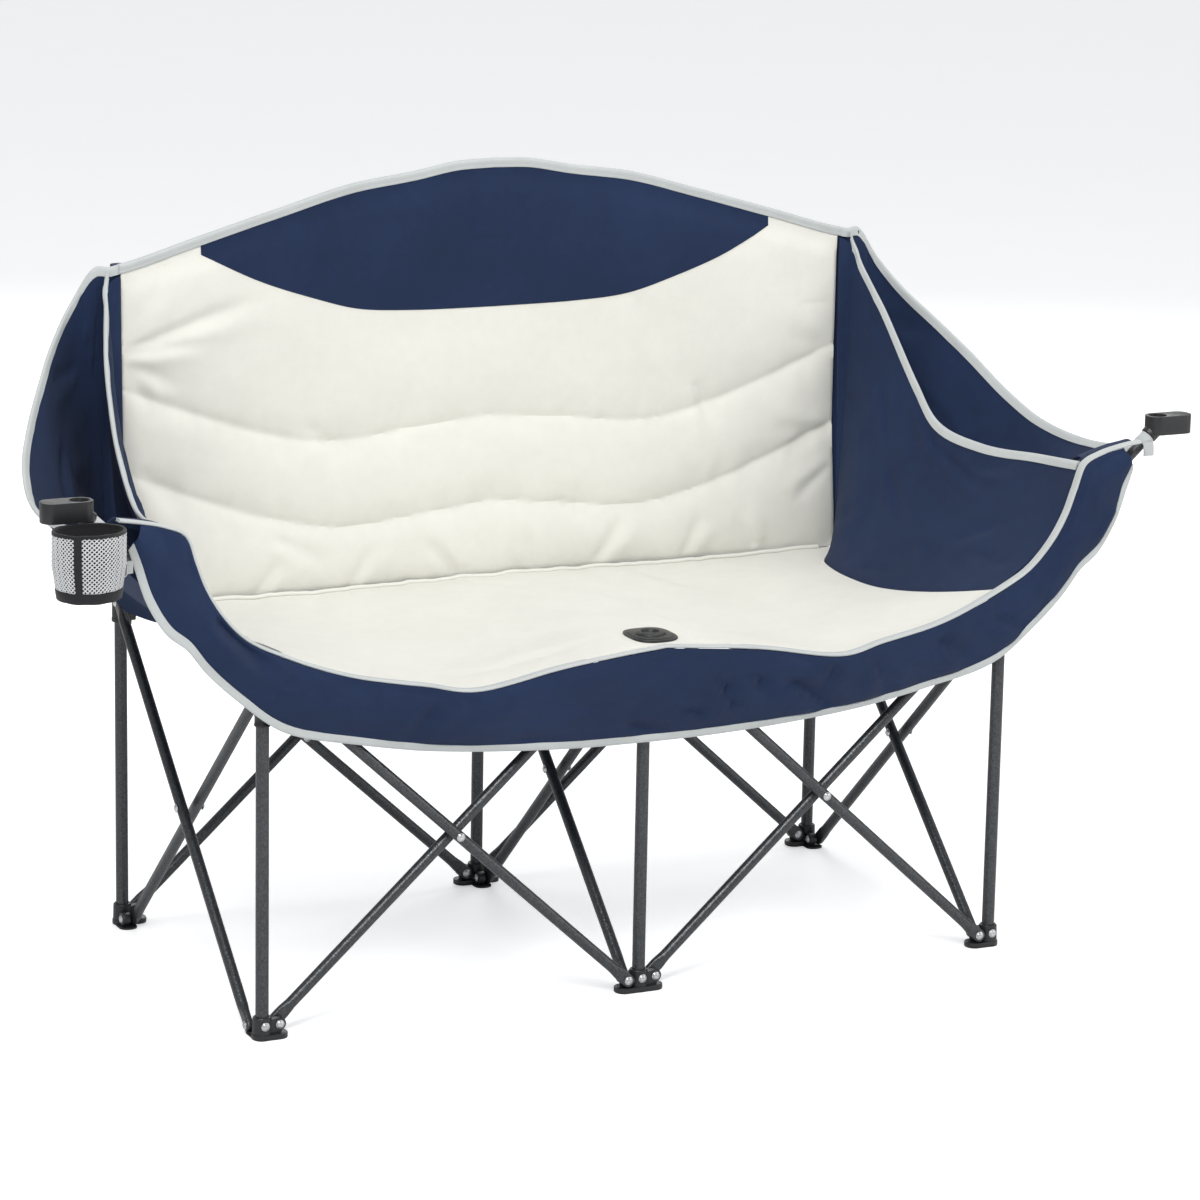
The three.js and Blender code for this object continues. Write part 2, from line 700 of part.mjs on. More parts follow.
function wingSolid() {
  const { top, base } = wingLines();
  const edge = top.map((point, i) => inward(point, base[i], binding.width + seam));
  return stretched({
    lower: base,
    upper: edge,
    columns: 4,
    bulge: (u) => wingBulge * smooth(2 * u),
    thickness: () => sheet,
    outward: sideOutward,
  });
}

// The front face of the backrest leans back from the seat and is upright above it.
function backFace(height) {
  const rise = smooth((height - backBase) / backPlane.foldHeight);
  return seatBack + backPlane.behindSeat + backPlane.lean * rise;
}

function backTop(x) {
  return upAt(tableAt(backTopShares, Math.abs(x) / bayWidth));
}

// Columns where the backrest's top edge turns, out to a half width.
function backColumns(halfWidth) {
  const turns = backTopShares.map(([share]) => share * bayWidth).filter((x) => x < halfWidth - pad.back);
  const right = [...turns, halfWidth];
  return [...right.slice(1).map((x) => -x).reverse(), ...right];
}

function backGrid(halfWidth, heights, face) {
  return heights.map((heightAt) => backColumns(halfWidth).map((x) => {
    const z = heightAt(x);
    return vec(x, face(x, z), z);
  }));
}

// Heights that run from a bottom line to a top line in equal steps.
function steps(bottom, top, count) {
  return Array.from({ length: count + 1 }, (unused, i) => (x) => mix(bottom(x), top(x), i / count));
}

const shellRowShares = [0, 0.09, 0.18, 0.27, 0.38, 0.66, 1];

function shellBackSolid() {
  const bottom = () => hub.middleTop + ear.near;
  const top = (x) => backTop(x) - binding.width - seam;
  const front = (x, z) => backFace(z) + pad.back + backPlane.gap;
  const back = (x, z) => front(x, z) + sheet;
  const half = shellCorner - 2 * clearance;
  const heights = shellRowShares.map((share) => (x) => mix(bottom(x), top(x), share));
  const wall = sheetSolid(backGrid(half, heights, front), backGrid(half, heights, back));
  const places = [-bayWidth, 0, bayWidth];
  return joined([wall, ...places.map((x) => pocketSolid(x, back(x, top(x))))]);
}

// A sleeve sewn on the back of the shell takes the top of each rear upright.
function pocketSolid(x, face) {
  const postTop = x === 0 ? upright.middleHeight : upright.rearHeight;
  const inner = upright.radius + 2 * clearance;
  const outer = inner + pocket.wall;
  const start = face - sheet / 2;
  const shape = new THREE.Shape();
  shape.moveTo(x - outer, start);
  shape.lineTo(x - outer, depth);
  shape.absarc(x, depth, outer, Math.PI, 0, true);
  shape.lineTo(x + outer, start);
  shape.closePath();
  const roofTop = postTop + clearance + pocket.roof;
  const sleeve = extruded(shape, postTop - pocket.height, roofTop, 6);
  const room = new THREE.Shape();
  room.moveTo(x - inner, face + sheet);
  room.lineTo(x - inner, depth);
  room.absarc(x, depth, inner, Math.PI, 0, true);
  room.lineTo(x + inner, face + sheet);
  room.closePath();
  const below = postTop - 2 * pocket.height;
  return cut(sleeve, [extruded(room, below, postTop + clearance, 6)]);
}

// The seat sags between the frame's members: rows of heights at its front, middle and back.

const seatPlaces = [0, 0.1, 0.26, 0.52, 0.64, 0.83, 1];
const seatFrontShares = [0.011, 0.011, -0.013, -0.051, -0.032, 0, 0.055];
const seatMiddleShares = [0.0147, 0.0147, -0.04, -0.09, -0.085, -0.055, -0.06];
const seatBackShares = [-0.028, -0.028, -0.03, -0.034, -0.034, -0.03, -0.028];
const seatColumnShares = [0, 0.08, 0.26, 0.42, 0.62, 0.83, 1];
const seatRowShares = [0, 0.16, 0.33, 0.5, 0.67, 0.84, 1];
const seatLift = hub.middleTop + 3 * clearance + sheet + pad.hub - upAt(seatFrontShares[0]);
const hubPlateauShare = 0.09;
const hubPlateauEndShare = 0.3;

// How far a place on the seat lies over the middle hub: 1 over it and 0 away from it.
function overHub(across, along) {
  const reach = hubPlateauEndShare - hubPlateauShare;
  const aside = 1 - smooth((Math.abs(across) - hubPlateauShare) / reach);
  return aside * (1 - smooth((along - 2 * hubPlateauShare) / reach));
}

function seatHeight(across, along) {
  const read = (shares) => tableAt(seatPlaces.map((place, i) => [place, shares[i]]), Math.abs(across));
  const near = (1 - along) ** 2 * read(seatFrontShares);
  const middle = 2 * along * (1 - along) * read(seatMiddleShares);
  return upAt(near + middle + along ** 2 * read(seatBackShares)) + seatLift * overHub(across, along);
}

// The line of the cream seat's side, from front to back, read from the insert's base.
function seatSide(along) {
  const line = insertBaseShares.map(spot).reverse();
  const table = line.map((p) => [p.y, p.x]);
  return tableAt(table, along);
}

function seatFront(across) {
  const table = frontEdgeShares.map(spot).map((p) => [p.x, p.y]);
  return tableAt(table, Math.abs(across) * seatSide(0)) + binding.width + seam;
}

function seatGrid(offset) {
  const columns = [...seatColumnShares.slice(1).map((share) => -share).reverse(), ...seatColumnShares];
  return seatRowShares.map((along) => columns.map((across) => {
    const y = mix(seatFront(across), seatBack, along);
    const half = Math.min(seatSide(y), seatSide(seatBack - 2 * binding.width)) - 4 * seam;
    return vec(across * half, y, seatHeight(across, along) - offset(across, along));
  }));
}

function seatPadThickness(across, along) {
  const rise = (share, power) => 1 - Math.abs(share) ** power;
  const full = mix(pad.edge, pad.middle, rise(across, 6) * rise(2 * along - 1, 4));
  return mix(full, pad.hub, overHub(across, along));
}

function seatPadSolid() {
  return sheetSolid(seatGrid(() => 0), seatGrid(seatPadThickness));
}

function shellBaseSolid() {
  const under = (across, along) => seatPadThickness(across, along) + 2 * clearance;
  return sheetSolid(seatGrid(under), seatGrid((across, along) => under(across, along) + sheet));
}

// The apron hangs from the seat's front edge to the rim and wraps the front of both arms.
function apronLines() {
  const top = bothHalves(frontEdgeShares.slice(0, rimShares.length).map(spot));
  const rim = bothHalves(rimShares.map(spot));
  return { top, rim };
}

function apronSolid() {
  const { top, rim } = apronLines();
  const drop = 1.38 * binding.thickness;
  const upper = top.map((point, i) => inward(point, rim[i], drop).add(vec(0, sheet, 0)));
  const lower = rim.map((point, i) => inward(point, top[i], binding.width + 3.4 * seam));
  return stretched({
    lower,
    upper,
    columns: 4,
    bulge: () => apronBulge,
    thickness: () => sheet,
    outward: () => vec(0, -1, 0),
  });
}

// The top of each arm closes the sleeve between the wing and the front tape.
function armTopSolid() {
  const frontShares = [[1.47, 0.345], [1.6, 0.367], [1.78, 0.383]];
  const backShares = [[1.5, 0.325], [1.66, 0.345], [1.8, 0.352]];
  const front = frontShares.map(([x, z]) => vec(acrossAt(x), -armCloth.front + binding.width + seam, upAt(z)));
  const back = backShares.map(([x, z]) => vec(acrossAt(x), armCloth.back + binding.width, upAt(z)));
  return stretched({
    lower: refined(front, 2),
    upper: refined(back, 2),
    columns: 2,
    bulge: () => apronBulge,
    thickness: () => -sheet,
    outward: () => axisZ,
  });
}

// Padded insert

function quiltHeight(shares, x) {
  return upAt(tableAt(shares, Math.abs(x) / bayWidth));
}

// Rows of the back pad: four across each of its three panels, with a row on each quilting line.
function backPadRows() {
  const lines = [
    () => backBase,
    (x) => quiltHeight(lowerQuiltShares, x),
    (x) => quiltHeight(upperQuiltShares, x),
    (x) => backTop(x) - binding.width - seam,
  ];
  const panelShares = [0, 0.12, 0.5, 0.88];
  const rows = [];
  for (let panel = 0; panel < lines.length - 1; panel += 1) {
    for (const share of panelShares) {
      rows.push({ height: (x) => mix(lines[panel](x), lines[panel + 1](x), share), crown: share > 0 });
    }
  }
  rows.push({ height: lines[lines.length - 1], crown: false });
  return rows;
}

function backPadSolid() {
  const rows = backPadRows();
  const heights = rows.map((row) => row.height);
  const half = creamEdge - 4 * clearance;
  const front = backGrid(half, heights, (x, z) => backFace(z));
  rows.forEach((row, i) => {
    for (const point of front[i]) {
      point.y += row.crown ? 0 : quilt.depth;
    }
  });
  const back = backGrid(half, heights, (x, z) => backFace(z) + pad.back);
  return sheetSolid(front, back);
}

function headrestSolid() {
  const bottom = (x) => upAt(tableAt(headrestShares, Math.abs(x) / bayWidth));
  const top = (x) => backTop(x) - binding.width - seam;
  const heights = steps(bottom, top, 4);
  const back = (x, z) => backFace(z) - clearance;
  const front = (x, z) => back(x, z) - headrest.thickness;
  const half = bayWidth - headrest.inset;
  return sheetSolid(
    backGrid(half, heights, front),
    backGrid(half, heights, back),
  );
}

function insertLines() {
  const top = insertTopShares.map(spot);
  const base = insertBaseShares.map(spot);
  return { top, base };
}

function sidePadSolid() {
  const { top, base } = insertLines();
  const edge = top.map((point, i) => inward(point, base[i], binding.width + 1.5 * seam));
  return stretched({
    lower: base,
    upper: edge,
    columns: 4,
    bulge: (u) => sideBulge * smooth(u),
    thickness: padded(pad.side),
    outward: sideOutward,
  });
}

// Tapes

function shellBindingSolid() {
  const { top, base } = wingLines();
  const corner = { edge: top, inner: top.map((point, i) => inward(point, base[i], binding.width)) };
  const backY = backFace(backHeight) + pad.back / 2;
  const backPlaces = backTopShares.slice(0, -1).map(([share]) => share * bayWidth);
  const backEdge = backPlaces.map((x) => vec(x, backY, backTop(x)));
  const backInner = backPlaces.map((x) => vec(x, backY, backTop(x) - binding.width));
  const halfEdge = [...backEdge, ...corner.edge];
  const halfInner = [...backInner, ...corner.inner];
  return tape(bothHalves(halfEdge), bothHalves(halfInner), binding.thickness);
}

function rimBindingSolid() {
  const { top, rim } = apronLines();
  return tape(rim, rim.map((point, i) => inward(point, top[i], binding.width)), binding.thickness);
}

function frontBindingSolid() {
  const edge = bothHalves(frontEdgeShares.map(spot));
  const inner = edge.map((point) => point.clone().add(vec(0, binding.width, 0)));
  return tape(edge, inner, binding.thickness);
}

function insertBindingSolid() {
  const { top, base } = insertLines();
  return tape(top, top.map((point, i) => inward(point, base[i], binding.width)), binding.thickness);
}

// Cup holder: an oval net bag with taped edges, hung in front of one arm end.

function ovalRing(halfWidth, halfDepth, height, count) {
  return Array.from({ length: count }, (unused, i) => {
    const angle = (i / count) * 2 * Math.PI;
    return vec(halfWidth * Math.cos(angle), halfDepth * Math.sin(angle), height);
  });
}

function ovalLoft(rings) {
  const points = rings.flat();
  const count = rings[0].length;
  const faces = [];
  for (let r = 0; r < rings.length - 1; r += 1) {
    for (let c = 0; c < count; c += 1) {
      const next = (c + 1) % count;
      const [a, b] = [r * count + c, r * count + next];
      faces.push(a, b, b + count, a, b + count, a + count);
    }
  }
  const last = (rings.length - 1) * count;
  for (let c = 1; c < count - 1; c += 1) {
    faces.push(0, c + 1, c);
    faces.push(last, last + c, last + c + 1);
  }
  return solid(points, faces);
}

const cupFootShare = 0.86;

// The bag widens from its foot to half its height and is straight above that.
function cupShare(height) {
  return mix(cupFootShare, 1, Math.min(2 * height / cup.height, 1));
}

function cupBagSolid() {
  const { halfWidth, halfDepth, wall } = cup;
  const { bottom, top } = cupPlace;
  const ring = (inset, share, height) => {
    return ovalRing((halfWidth - inset) * share, (halfDepth - inset) * share, height, segments.oval);
  };
  const outside = [ring(0, cupFootShare, bottom), ring(0, 1, mix(bottom, top, 0.5)), ring(0, 1, top)];
  const inside = [
    ring(wall, cupFootShare, bottom + wall), ring(wall, 1, mix(bottom, top, 0.5)), ring(wall, 1, top),
  ];
  return ovalLoft([...outside, ...inside.reverse()]);
}

// The tape round the bag's foot.
function cupTrimSolid() {
  const { halfWidth, halfDepth, wall, band } = cup;
  const { bottom } = cupPlace;
  const grow = wall + clearance;
  const ring = (extra, height, level) => {
    const share = cupShare(height);
    return ovalRing(halfWidth * share + extra, halfDepth * share + extra, level, segments.oval);
  };
  const outside = [ring(grow, 0, bottom - grow), ring(grow, band, bottom + band)];
  const inside = [ring(clearance, 0, bottom - clearance), ring(clearance, band, bottom + band)];
  return ovalLoft([...outside, ...inside.reverse()]);
}

// Webbing

// The middle of the loop that each arm strap makes round its tube, next to the arm end.
function armLoop(layer) {
  const along = armReach - armEnd.socketLength - strap.width / 2 - seam;
  const direction = vec(Math.cos(restAngle), 0, Math.sin(restAngle));
  const middle = vec(bayWidth - pivotInset, layer, hubPivotHeight).addScaledVector(direction, along);
  return { middle, direction };
}

// A loop round the arm tube with a tail that hangs down from its front and ends a step before it.
function armStrapSolid(layer, step) {
  const { middle, direction } = armLoop(layer);
  const up = vec(0, 0, 0).crossVectors(direction, axisY);
  const inner = crossTube.radius + 2 * clearance;
  const { thickness, tail, width } = strap;
  const loop = hollowBar(inner + thickness, inner, -width / 2, width / 2, segments.upright);
  const front = layer - inner - thickness;
  const shape = new THREE.Shape();
  shape.moveTo(front, middle.z);
  shape.lineTo(front + thickness, middle.z);
  shape.lineTo(front + thickness - step, middle.z - tail);
  shape.lineTo(front - step, middle.z - tail);
  shape.closePath();
  const hanging = inBasis(extruded(shape, -width / 2, width / 2), axisY, axisZ, axisX, vec(middle.x, 0, 0));
  return joined([inBasis(loop, up, axisY, direction, middle), hanging]);
}

// How far the holder's wall lies before the loop's front, at the outer edge of the strap.
function cupStep() {
  const { middle } = armLoop(-layerOffset);
  const ring = ovalRing(cup.halfWidth, cup.halfDepth, 0, segments.oval).filter((p) => p.y >= 0);
  const wall = ring.map((p) => [p.x, p.y]).reverse();
  const wallY = tableAt(wall, middle.x + strap.width / 2 - cupPlace.x) - cup.forward;
  const front = -layerOffset - crossTube.radius - 2 * clearance - strap.thickness;
  return front - wallY - 2 * clearance;
}

// The strap that steadies the cup holder against the shell's rim.
function cupStrapSolid() {
  const { width, thickness, levelShare } = strap;
  const level = mix(cupPlace.bottom, cupPlace.top, levelShare);
  const rim = rimShares.map(spot).map((p) => [p.z, p.x]);
  const endX = tableAt(rim, level + width / 2) + seam;
  const shape = new THREE.Shape();
  shape.moveTo(endX, level - width / 2);
  shape.lineTo(cupPlace.x, level - width / 2);
  shape.lineTo(cupPlace.x, level + width / 2);
  shape.lineTo(endX, level + width / 2);
  shape.closePath();
  const face = cup.halfDepth * cupShare(level + width / 2 - cupPlace.bottom) - cup.forward + clearance;
  return inBasis(extruded(shape, 0, thickness), axisX, axisZ, axisY, vec(0, face, 0));
}

// Materials

function material(name, color, roughness, metalness) {
  const made = new THREE.MeshStandardMaterial({ color, roughness, metalness });
  made.name = name;
  return made;
}

const steel = material('steel', 0x3a3c3e, 0.45, 0.8);
const plastic = material('plastic', 0x161719, 0.5, 0);
const cream = material('cream', 0xe8e3d4, 0.9, 0);
const navy = material('navy', 0x1c2b54, 0.9, 0);
const grey = material('grey', 0xcfd4d2, 0.85, 0);
const net = material('net', 0x9a9c9c, 0.9, 0);

const chair = new THREE.Group();

function addPiece(group, name, geometry, look, x = 0, y = 0, z = 0) {
  geometry.computeVertexNormals();
  const mesh = new THREE.Mesh(geometry, look);
  mesh.name = name;
  mesh.position.set(x, y, z);
  group.add(mesh);
}

// Uprights with their feet, hubs and sliders

const placeX = { left: -bayWidth, middle: 0, right: bayWidth };

// The tube that rises to the right lies in the rear layer of its row, and the tube that rises to
// the left in the front layer. A fitting's ear lies on the other side of its tube's layer.
const footRows = {
  left: [rowEar(1, 1)],
  middle: [rowEar(-1, -1), rowEar(1, 1)],
  right: [rowEar(-1, -1)],
};
const hubRows = {
  left: [rowEar(1, -1)],
  middle: [rowEar(-1, 1), rowEar(1, -1)],
  right: [rowEar(-1, 1)],
};

function addUprights() {
  const frontTop = collar.shoulder;
  for (const [side, x] of Object.entries(placeX)) {
    const hubTop = side === 'middle' ? hub.middleTop : hub.outerTop;
    const rearTop = side === 'middle' ? upright.middleHeight : upright.rearHeight;
    const tube = (top) => hollowBar(upright.radius, upright.bore, upright.foot, top, segments.upright);
    addPiece(chair, `front_foot_${side}`, footSolid([...footRows[side], sideEar(1, -1)]), plastic, x);
    addPiece(chair, `front_upright_${side}`, tube(frontTop), steel, x);
    addPiece(chair, `front_collar_${side}`, collarSolid(), plastic, x);
    addPiece(chair, `front_hub_${side}`, hubSolid([...hubRows[side], sideEar(1, 1)], hubTop), plastic, x);
    addPiece(chair, `rear_foot_${side}`, footSolid([...footRows[side], sideEar(-1, 1)]), plastic, x, depth);
    addPiece(chair, `rear_upright_${side}`, tube(rearTop), steel, x, depth);
    addPiece(chair, `rear_slider_${side}`, sliderSolid([...hubRows[side], sideEar(-1, -1)]), plastic, x, depth);
  }
}

// Crossed tubes of a row: rising says which way a tube climbs, +1 to the right and -1 to the left.
function addRowTube(name, lowerX, rising, rowY, reach) {
  const shape = crossedTube({ span: pivotSpan, reach, holdsCrossing: rising < 0 });
  const pivot = vec(lowerX + rising * pivotInset, rowY + rising * layerOffset, footPivotHeight);
  const direction = vec(rising * Math.cos(restAngle), 0, Math.sin(restAngle));
  addPiece(chair, name, placeTube(shape, pivot, direction, vec(0, -rising, 0)), steel);
}

// Crossed tubes of a side: rising is +1 to the back and -1 to the front.
function addSideTube(name, x, rising) {
  const shape = crossedTube({ span: sideSpan, reach: 0, holdsCrossing: rising > 0 });
  const lowerY = rising > 0 ? pivotInset : depth - pivotInset;
  const pivot = vec(x - rising * layerOffset, lowerY, footPivotHeight - sidePivotDrop);
  const direction = vec(0, rising * Math.cos(sideAngle), Math.sin(sideAngle));
  addPiece(chair, name, placeTube(shape, pivot, direction, vec(rising, 0, 0)), steel);
}

function addCrossedTubes() {
  for (const [row, y, reach] of [['front', 0, armReach], ['rear', depth, 0]]) {
    addRowTube(`${row}_tube_left_to_middle`, -bayWidth, 1, y, 0);
    addRowTube(`${row}_tube_middle_to_left`, 0, -1, y, reach);
    addRowTube(`${row}_tube_middle_to_right`, 0, 1, y, reach);
    addRowTube(`${row}_tube_right_to_middle`, bayWidth, -1, y, 0);
  }
  for (const [side, x] of Object.entries(placeX)) {
    addSideTube(`side_tube_${side}_to_rear`, x, 1);
    addSideTube(`side_tube_${side}_to_front`, x, -1);
  }
}

function addArmEnds() {
  addPiece(chair, 'arm_end_right', armEndSolid(layerOffset), plastic);
  addPiece(chair, 'arm_end_left', mirroredSolid(armEndSolid(-layerOffset)), plastic);
}

function addSeatCap() {
  const level = seatHeight(0, 0) + clearance;
  addPiece(chair, 'seat_cap', seatCapSolid(), plastic, 0, -seatCap.offset, level);
}

function addInsert() {
  addPiece(chair, 'seat_pad', seatPadSolid(), cream);
  addPiece(chair, 'back_pad', backPadSolid(), cream);
  addPiece(chair, 'headrest_panel', headrestSolid(), navy);
  const side = sidePadSolid();
  addPiece(chair, 'side_pad_right', side, navy);
  addPiece(chair, 'side_pad_left', mirroredSolid(side), navy);
  const edge = insertBindingSolid();
  addPiece(chair, 'insert_binding_right', edge, grey);
  addPiece(chair, 'insert_binding_left', mirroredSolid(edge), grey);
}

function addShell() {
  addPiece(chair, 'shell_back', shellBackSolid(), navy);
  addPiece(chair, 'shell_base', shellBaseSolid(), navy);
  const wing = wingSolid();
  addPiece(chair, 'wing_right', wing, navy);
  addPiece(chair, 'wing_left', mirroredSolid(wing), navy);
  addPiece(chair, 'front_apron', apronSolid(), navy);
  const top = armTopSolid();
  addPiece(chair, 'arm_top_right', top, navy);
  addPiece(chair, 'arm_top_left', mirroredSolid(top), navy);
  addPiece(chair, 'shell_binding', shellBindingSolid(), grey);
  addPiece(chair, 'rim_binding', rimBindingSolid(), grey);
  addPiece(chair, 'front_binding', frontBindingSolid(), grey);
}

function addCupHolder() {
  addPiece(chair, 'cup_net', cupBagSolid(), net, -cupPlace.x, -cup.forward);
  addPiece(chair, 'cup_trim', cupTrimSolid(), plastic, -cupPlace.x, -cup.forward);
  addPiece(chair, 'cup_strap', mirroredSolid(cupStrapSolid()), grey);
  addPiece(chair, 'arm_strap_right', armStrapSolid(layerOffset, 0), grey);
  addPiece(chair, 'arm_strap_left', mirroredSolid(armStrapSolid(-layerOffset, cupStep())), grey);
}

addUprights();
addCrossedTubes();
addArmEnds();
addSeatCap();
addInsert();
addShell();
addCupHolder();

// The origin is the centre of the footprint, on the floor
const box = new THREE.Box3().setFromObject(chair);
const centre = box.getCenter(vec(0, 0, 0));
chair.position.set(-centre.x, -centre.y, -box.min.z);
chair.updateMatrixWorld(true);

export default chair;
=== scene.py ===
"""The looks of a folding two-seat camping chair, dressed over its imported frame.

Sizes are written in millimetres from the foot of the middle front upright, with X across the
chair, Y to the back and Z up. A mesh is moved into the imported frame, in metres, when it is made.
"""

from __future__ import annotations

import json
import logging
import math
from dataclasses import dataclass, field
from enum import Enum
from functools import partial
from typing import Callable, Iterable, Sequence

import bpy
import numpy as np
from mathutils import Matrix, Vector

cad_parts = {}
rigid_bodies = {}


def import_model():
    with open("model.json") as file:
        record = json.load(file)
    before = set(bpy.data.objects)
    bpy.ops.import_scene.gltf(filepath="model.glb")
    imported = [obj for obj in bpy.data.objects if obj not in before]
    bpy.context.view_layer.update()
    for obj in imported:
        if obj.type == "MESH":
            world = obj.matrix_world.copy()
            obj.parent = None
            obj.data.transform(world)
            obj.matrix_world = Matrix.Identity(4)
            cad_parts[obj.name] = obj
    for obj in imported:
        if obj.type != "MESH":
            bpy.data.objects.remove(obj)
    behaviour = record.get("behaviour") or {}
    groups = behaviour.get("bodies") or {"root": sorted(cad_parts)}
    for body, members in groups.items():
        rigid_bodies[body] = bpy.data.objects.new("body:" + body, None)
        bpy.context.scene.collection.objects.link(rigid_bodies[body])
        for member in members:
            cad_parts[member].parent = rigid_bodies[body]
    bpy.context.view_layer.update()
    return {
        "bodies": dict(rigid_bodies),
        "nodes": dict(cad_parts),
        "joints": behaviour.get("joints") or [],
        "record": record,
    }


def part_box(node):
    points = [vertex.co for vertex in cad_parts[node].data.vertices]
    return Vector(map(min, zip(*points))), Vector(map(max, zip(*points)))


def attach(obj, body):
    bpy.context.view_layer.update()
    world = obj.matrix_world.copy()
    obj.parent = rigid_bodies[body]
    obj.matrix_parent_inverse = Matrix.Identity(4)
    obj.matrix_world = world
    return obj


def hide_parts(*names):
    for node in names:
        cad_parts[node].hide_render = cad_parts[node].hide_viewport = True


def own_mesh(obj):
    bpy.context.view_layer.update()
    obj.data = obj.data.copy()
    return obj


LOG = logging.getLogger("chair")
Table = Sequence[tuple[float, ...]]
X_AXIS, Y_AXIS, Z_AXIS = np.eye(3)
PER_METRE = 1000.0

# Width of the edge tape, thickness of a sheet of cloth, and how far a sheet's rim is rounded
TAPE_WIDTH = 12.0
CLOTH = 1.9
ROUND_RIM = 0.3


class Side(Enum):
    """One half of the chair, as seen from the front."""

    LEFT = -1
    RIGHT = 1

    @property
    def word(self) -> str:
        """The side's name as it stands in the names of the pieces."""
        return self.name.lower()


# Sizes shared by the frame and the fabric


@dataclass(frozen=True)
class Layout:
    """The driving sizes of the open chair."""

    bay: float = 500.0
    depth: float = 500.0
    inset: float = 20.0
    foot_pivot: float = 18.0
    hub_pivot: float = 438.0
    side_drop: float = 6.0
    layer: float = 9.5
    arm_reach: float = 335.0
    hub_top: float = 447.0
    outer_hub_top: float = 434.0
    back_height: float = 978.0

    @property
    def span_across(self) -> float:
        """Distance across a bay between the pivots of one tube."""
        return self.bay - 2 * self.inset

    @property
    def span_up(self) -> float:
        """Height between the pivots of one tube."""
        return self.hub_pivot - self.foot_pivot

    @property
    def span(self) -> float:
        """Length of a tube between its pivots."""
        return math.hypot(self.span_across, self.span_up)

    @property
    def rest_angle(self) -> float:
        """Slope of a tube on the open chair."""
        return math.atan2(self.span_up, self.span_across)

    @property
    def slope(self) -> np.ndarray:
        """The way of a tube that rises to the right."""
        return np.array([math.cos(self.rest_angle), 0.0, math.sin(self.rest_angle)])

    def rear_top(self, side: str) -> float:
        """Height of a rear upright."""
        return 968.0 if side == "middle" else 860.0

    @property
    def arm_overhang(self) -> float:
        """How far an arm tube's tip stands outside its outer upright."""
        tip = self.bay - self.inset + self.arm_reach * math.cos(self.rest_angle)
        return tip - self.bay

    def across(self, share: float) -> float:
        """X of a share: 1 is the outer upright and 2 the arm tube's tip."""
        return share * self.bay if share <= 1 else self.bay + (share - 1) * self.arm_overhang

    def up(self, share: float) -> float:
        """Z of a share: 0 is the top of the middle hub and 1 the top of the backrest."""
        return self.hub_top + share * (self.back_height - self.hub_top)

    def spot(self, shares: Sequence[float]) -> np.ndarray:
        """The point that three shares, across, along and up, stand for."""
        return np.array([self.across(shares[0]), shares[1] * self.depth, self.up(shares[2])])


LAYOUT = Layout()
COLUMNS = (("left", -LAYOUT.bay), ("middle", 0.0), ("right", LAYOUT.bay))


# Curves, tables and noise


def smooth(share: np.ndarray | float) -> np.ndarray | float:
    """A soft step from 0 to 1."""
    t = np.clip(share, 0.0, 1.0)
    return t * t * (3 - 2 * t)


def unit(vectors: np.ndarray) -> np.ndarray:
    """Vectors scaled to length one along their last axis."""
    length = np.linalg.norm(vectors, axis=-1, keepdims=True)
    return vectors / np.maximum(length, 1e-9)


def refined(points: np.ndarray, count: int) -> np.ndarray:
    """A smooth line through points.

    Args:
        points: The points it passes, one a row.
        count: Steps between two neighbours.

    Returns:
        The points of the finer line, the first and the last kept.
    """
    points = np.asarray(points, float)
    before = 2 * points[0] - points[1]
    after = 2 * points[-1] - points[-2]
    held = np.vstack([before, points, after])
    made = []
    for i in range(1, len(held) - 2):
        p0, p1, p2, p3 = held[i - 1 : i + 3]
        knots = [0.0]
        for a, b in ((p0, p1), (p1, p2), (p2, p3)):
            knots.append(knots[-1] + max(float(np.linalg.norm(b - a)) ** 0.5, 1e-6))
        k0, k1, k2, k3 = knots
        for step in range(count):
            t = k1 + (k2 - k1) * step / count
            a1 = (k1 - t) / (k1 - k0) * p0 + (t - k0) / (k1 - k0) * p1
            a2 = (k2 - t) / (k2 - k1) * p1 + (t - k1) / (k2 - k1) * p2
            a3 = (k3 - t) / (k3 - k2) * p2 + (t - k2) / (k3 - k2) * p3
            b1 = (k2 - t) / (k2 - k0) * a1 + (t - k0) / (k2 - k0) * a2
            b2 = (k3 - t) / (k3 - k1) * a2 + (t - k1) / (k3 - k1) * a3
            made.append((k2 - t) / (k2 - k1) * b1 + (t - k1) / (k2 - k1) * b2)
    made.append(points[-1])
    return np.array(made)


def read(table: Table, places: np.ndarray | float) -> np.ndarray:
    """Reads a table of place and value along a smooth line through its points."""
    line = refined(np.array(table, float), 8)
    return np.interp(places, line[:, 0], line[:, 1])


def mirrored(points: np.ndarray) -> np.ndarray:
    """Points on the other side of the middle plane."""
    return np.asarray(points, float) * np.array([-1.0, 1.0, 1.0])


def both_halves(points: np.ndarray) -> np.ndarray:
    """A line from its mirrored far end over the middle to its far end."""
    return np.vstack([mirrored(points[1:])[::-1], points])


def path_lengths(line: np.ndarray) -> np.ndarray:
    """Distance travelled along a line at each of its points."""
    return np.concatenate([[0.0], np.cumsum(np.linalg.norm(np.diff(line, axis=0), axis=1))])


def ring_lengths(ring: np.ndarray) -> np.ndarray:
    """Distance travelled round a ring, back to its first point."""
    return path_lengths(np.vstack([ring, ring[:1]]))


def circle(count: int) -> np.ndarray:
    """Angles once round a circle."""
    return np.linspace(0, 2 * math.pi, count, endpoint=False)


def squared(values: np.ndarray, power: float) -> np.ndarray:
    """Cosines or sines drawn out from a circle towards a square."""
    return np.sign(values) * np.abs(values) ** power


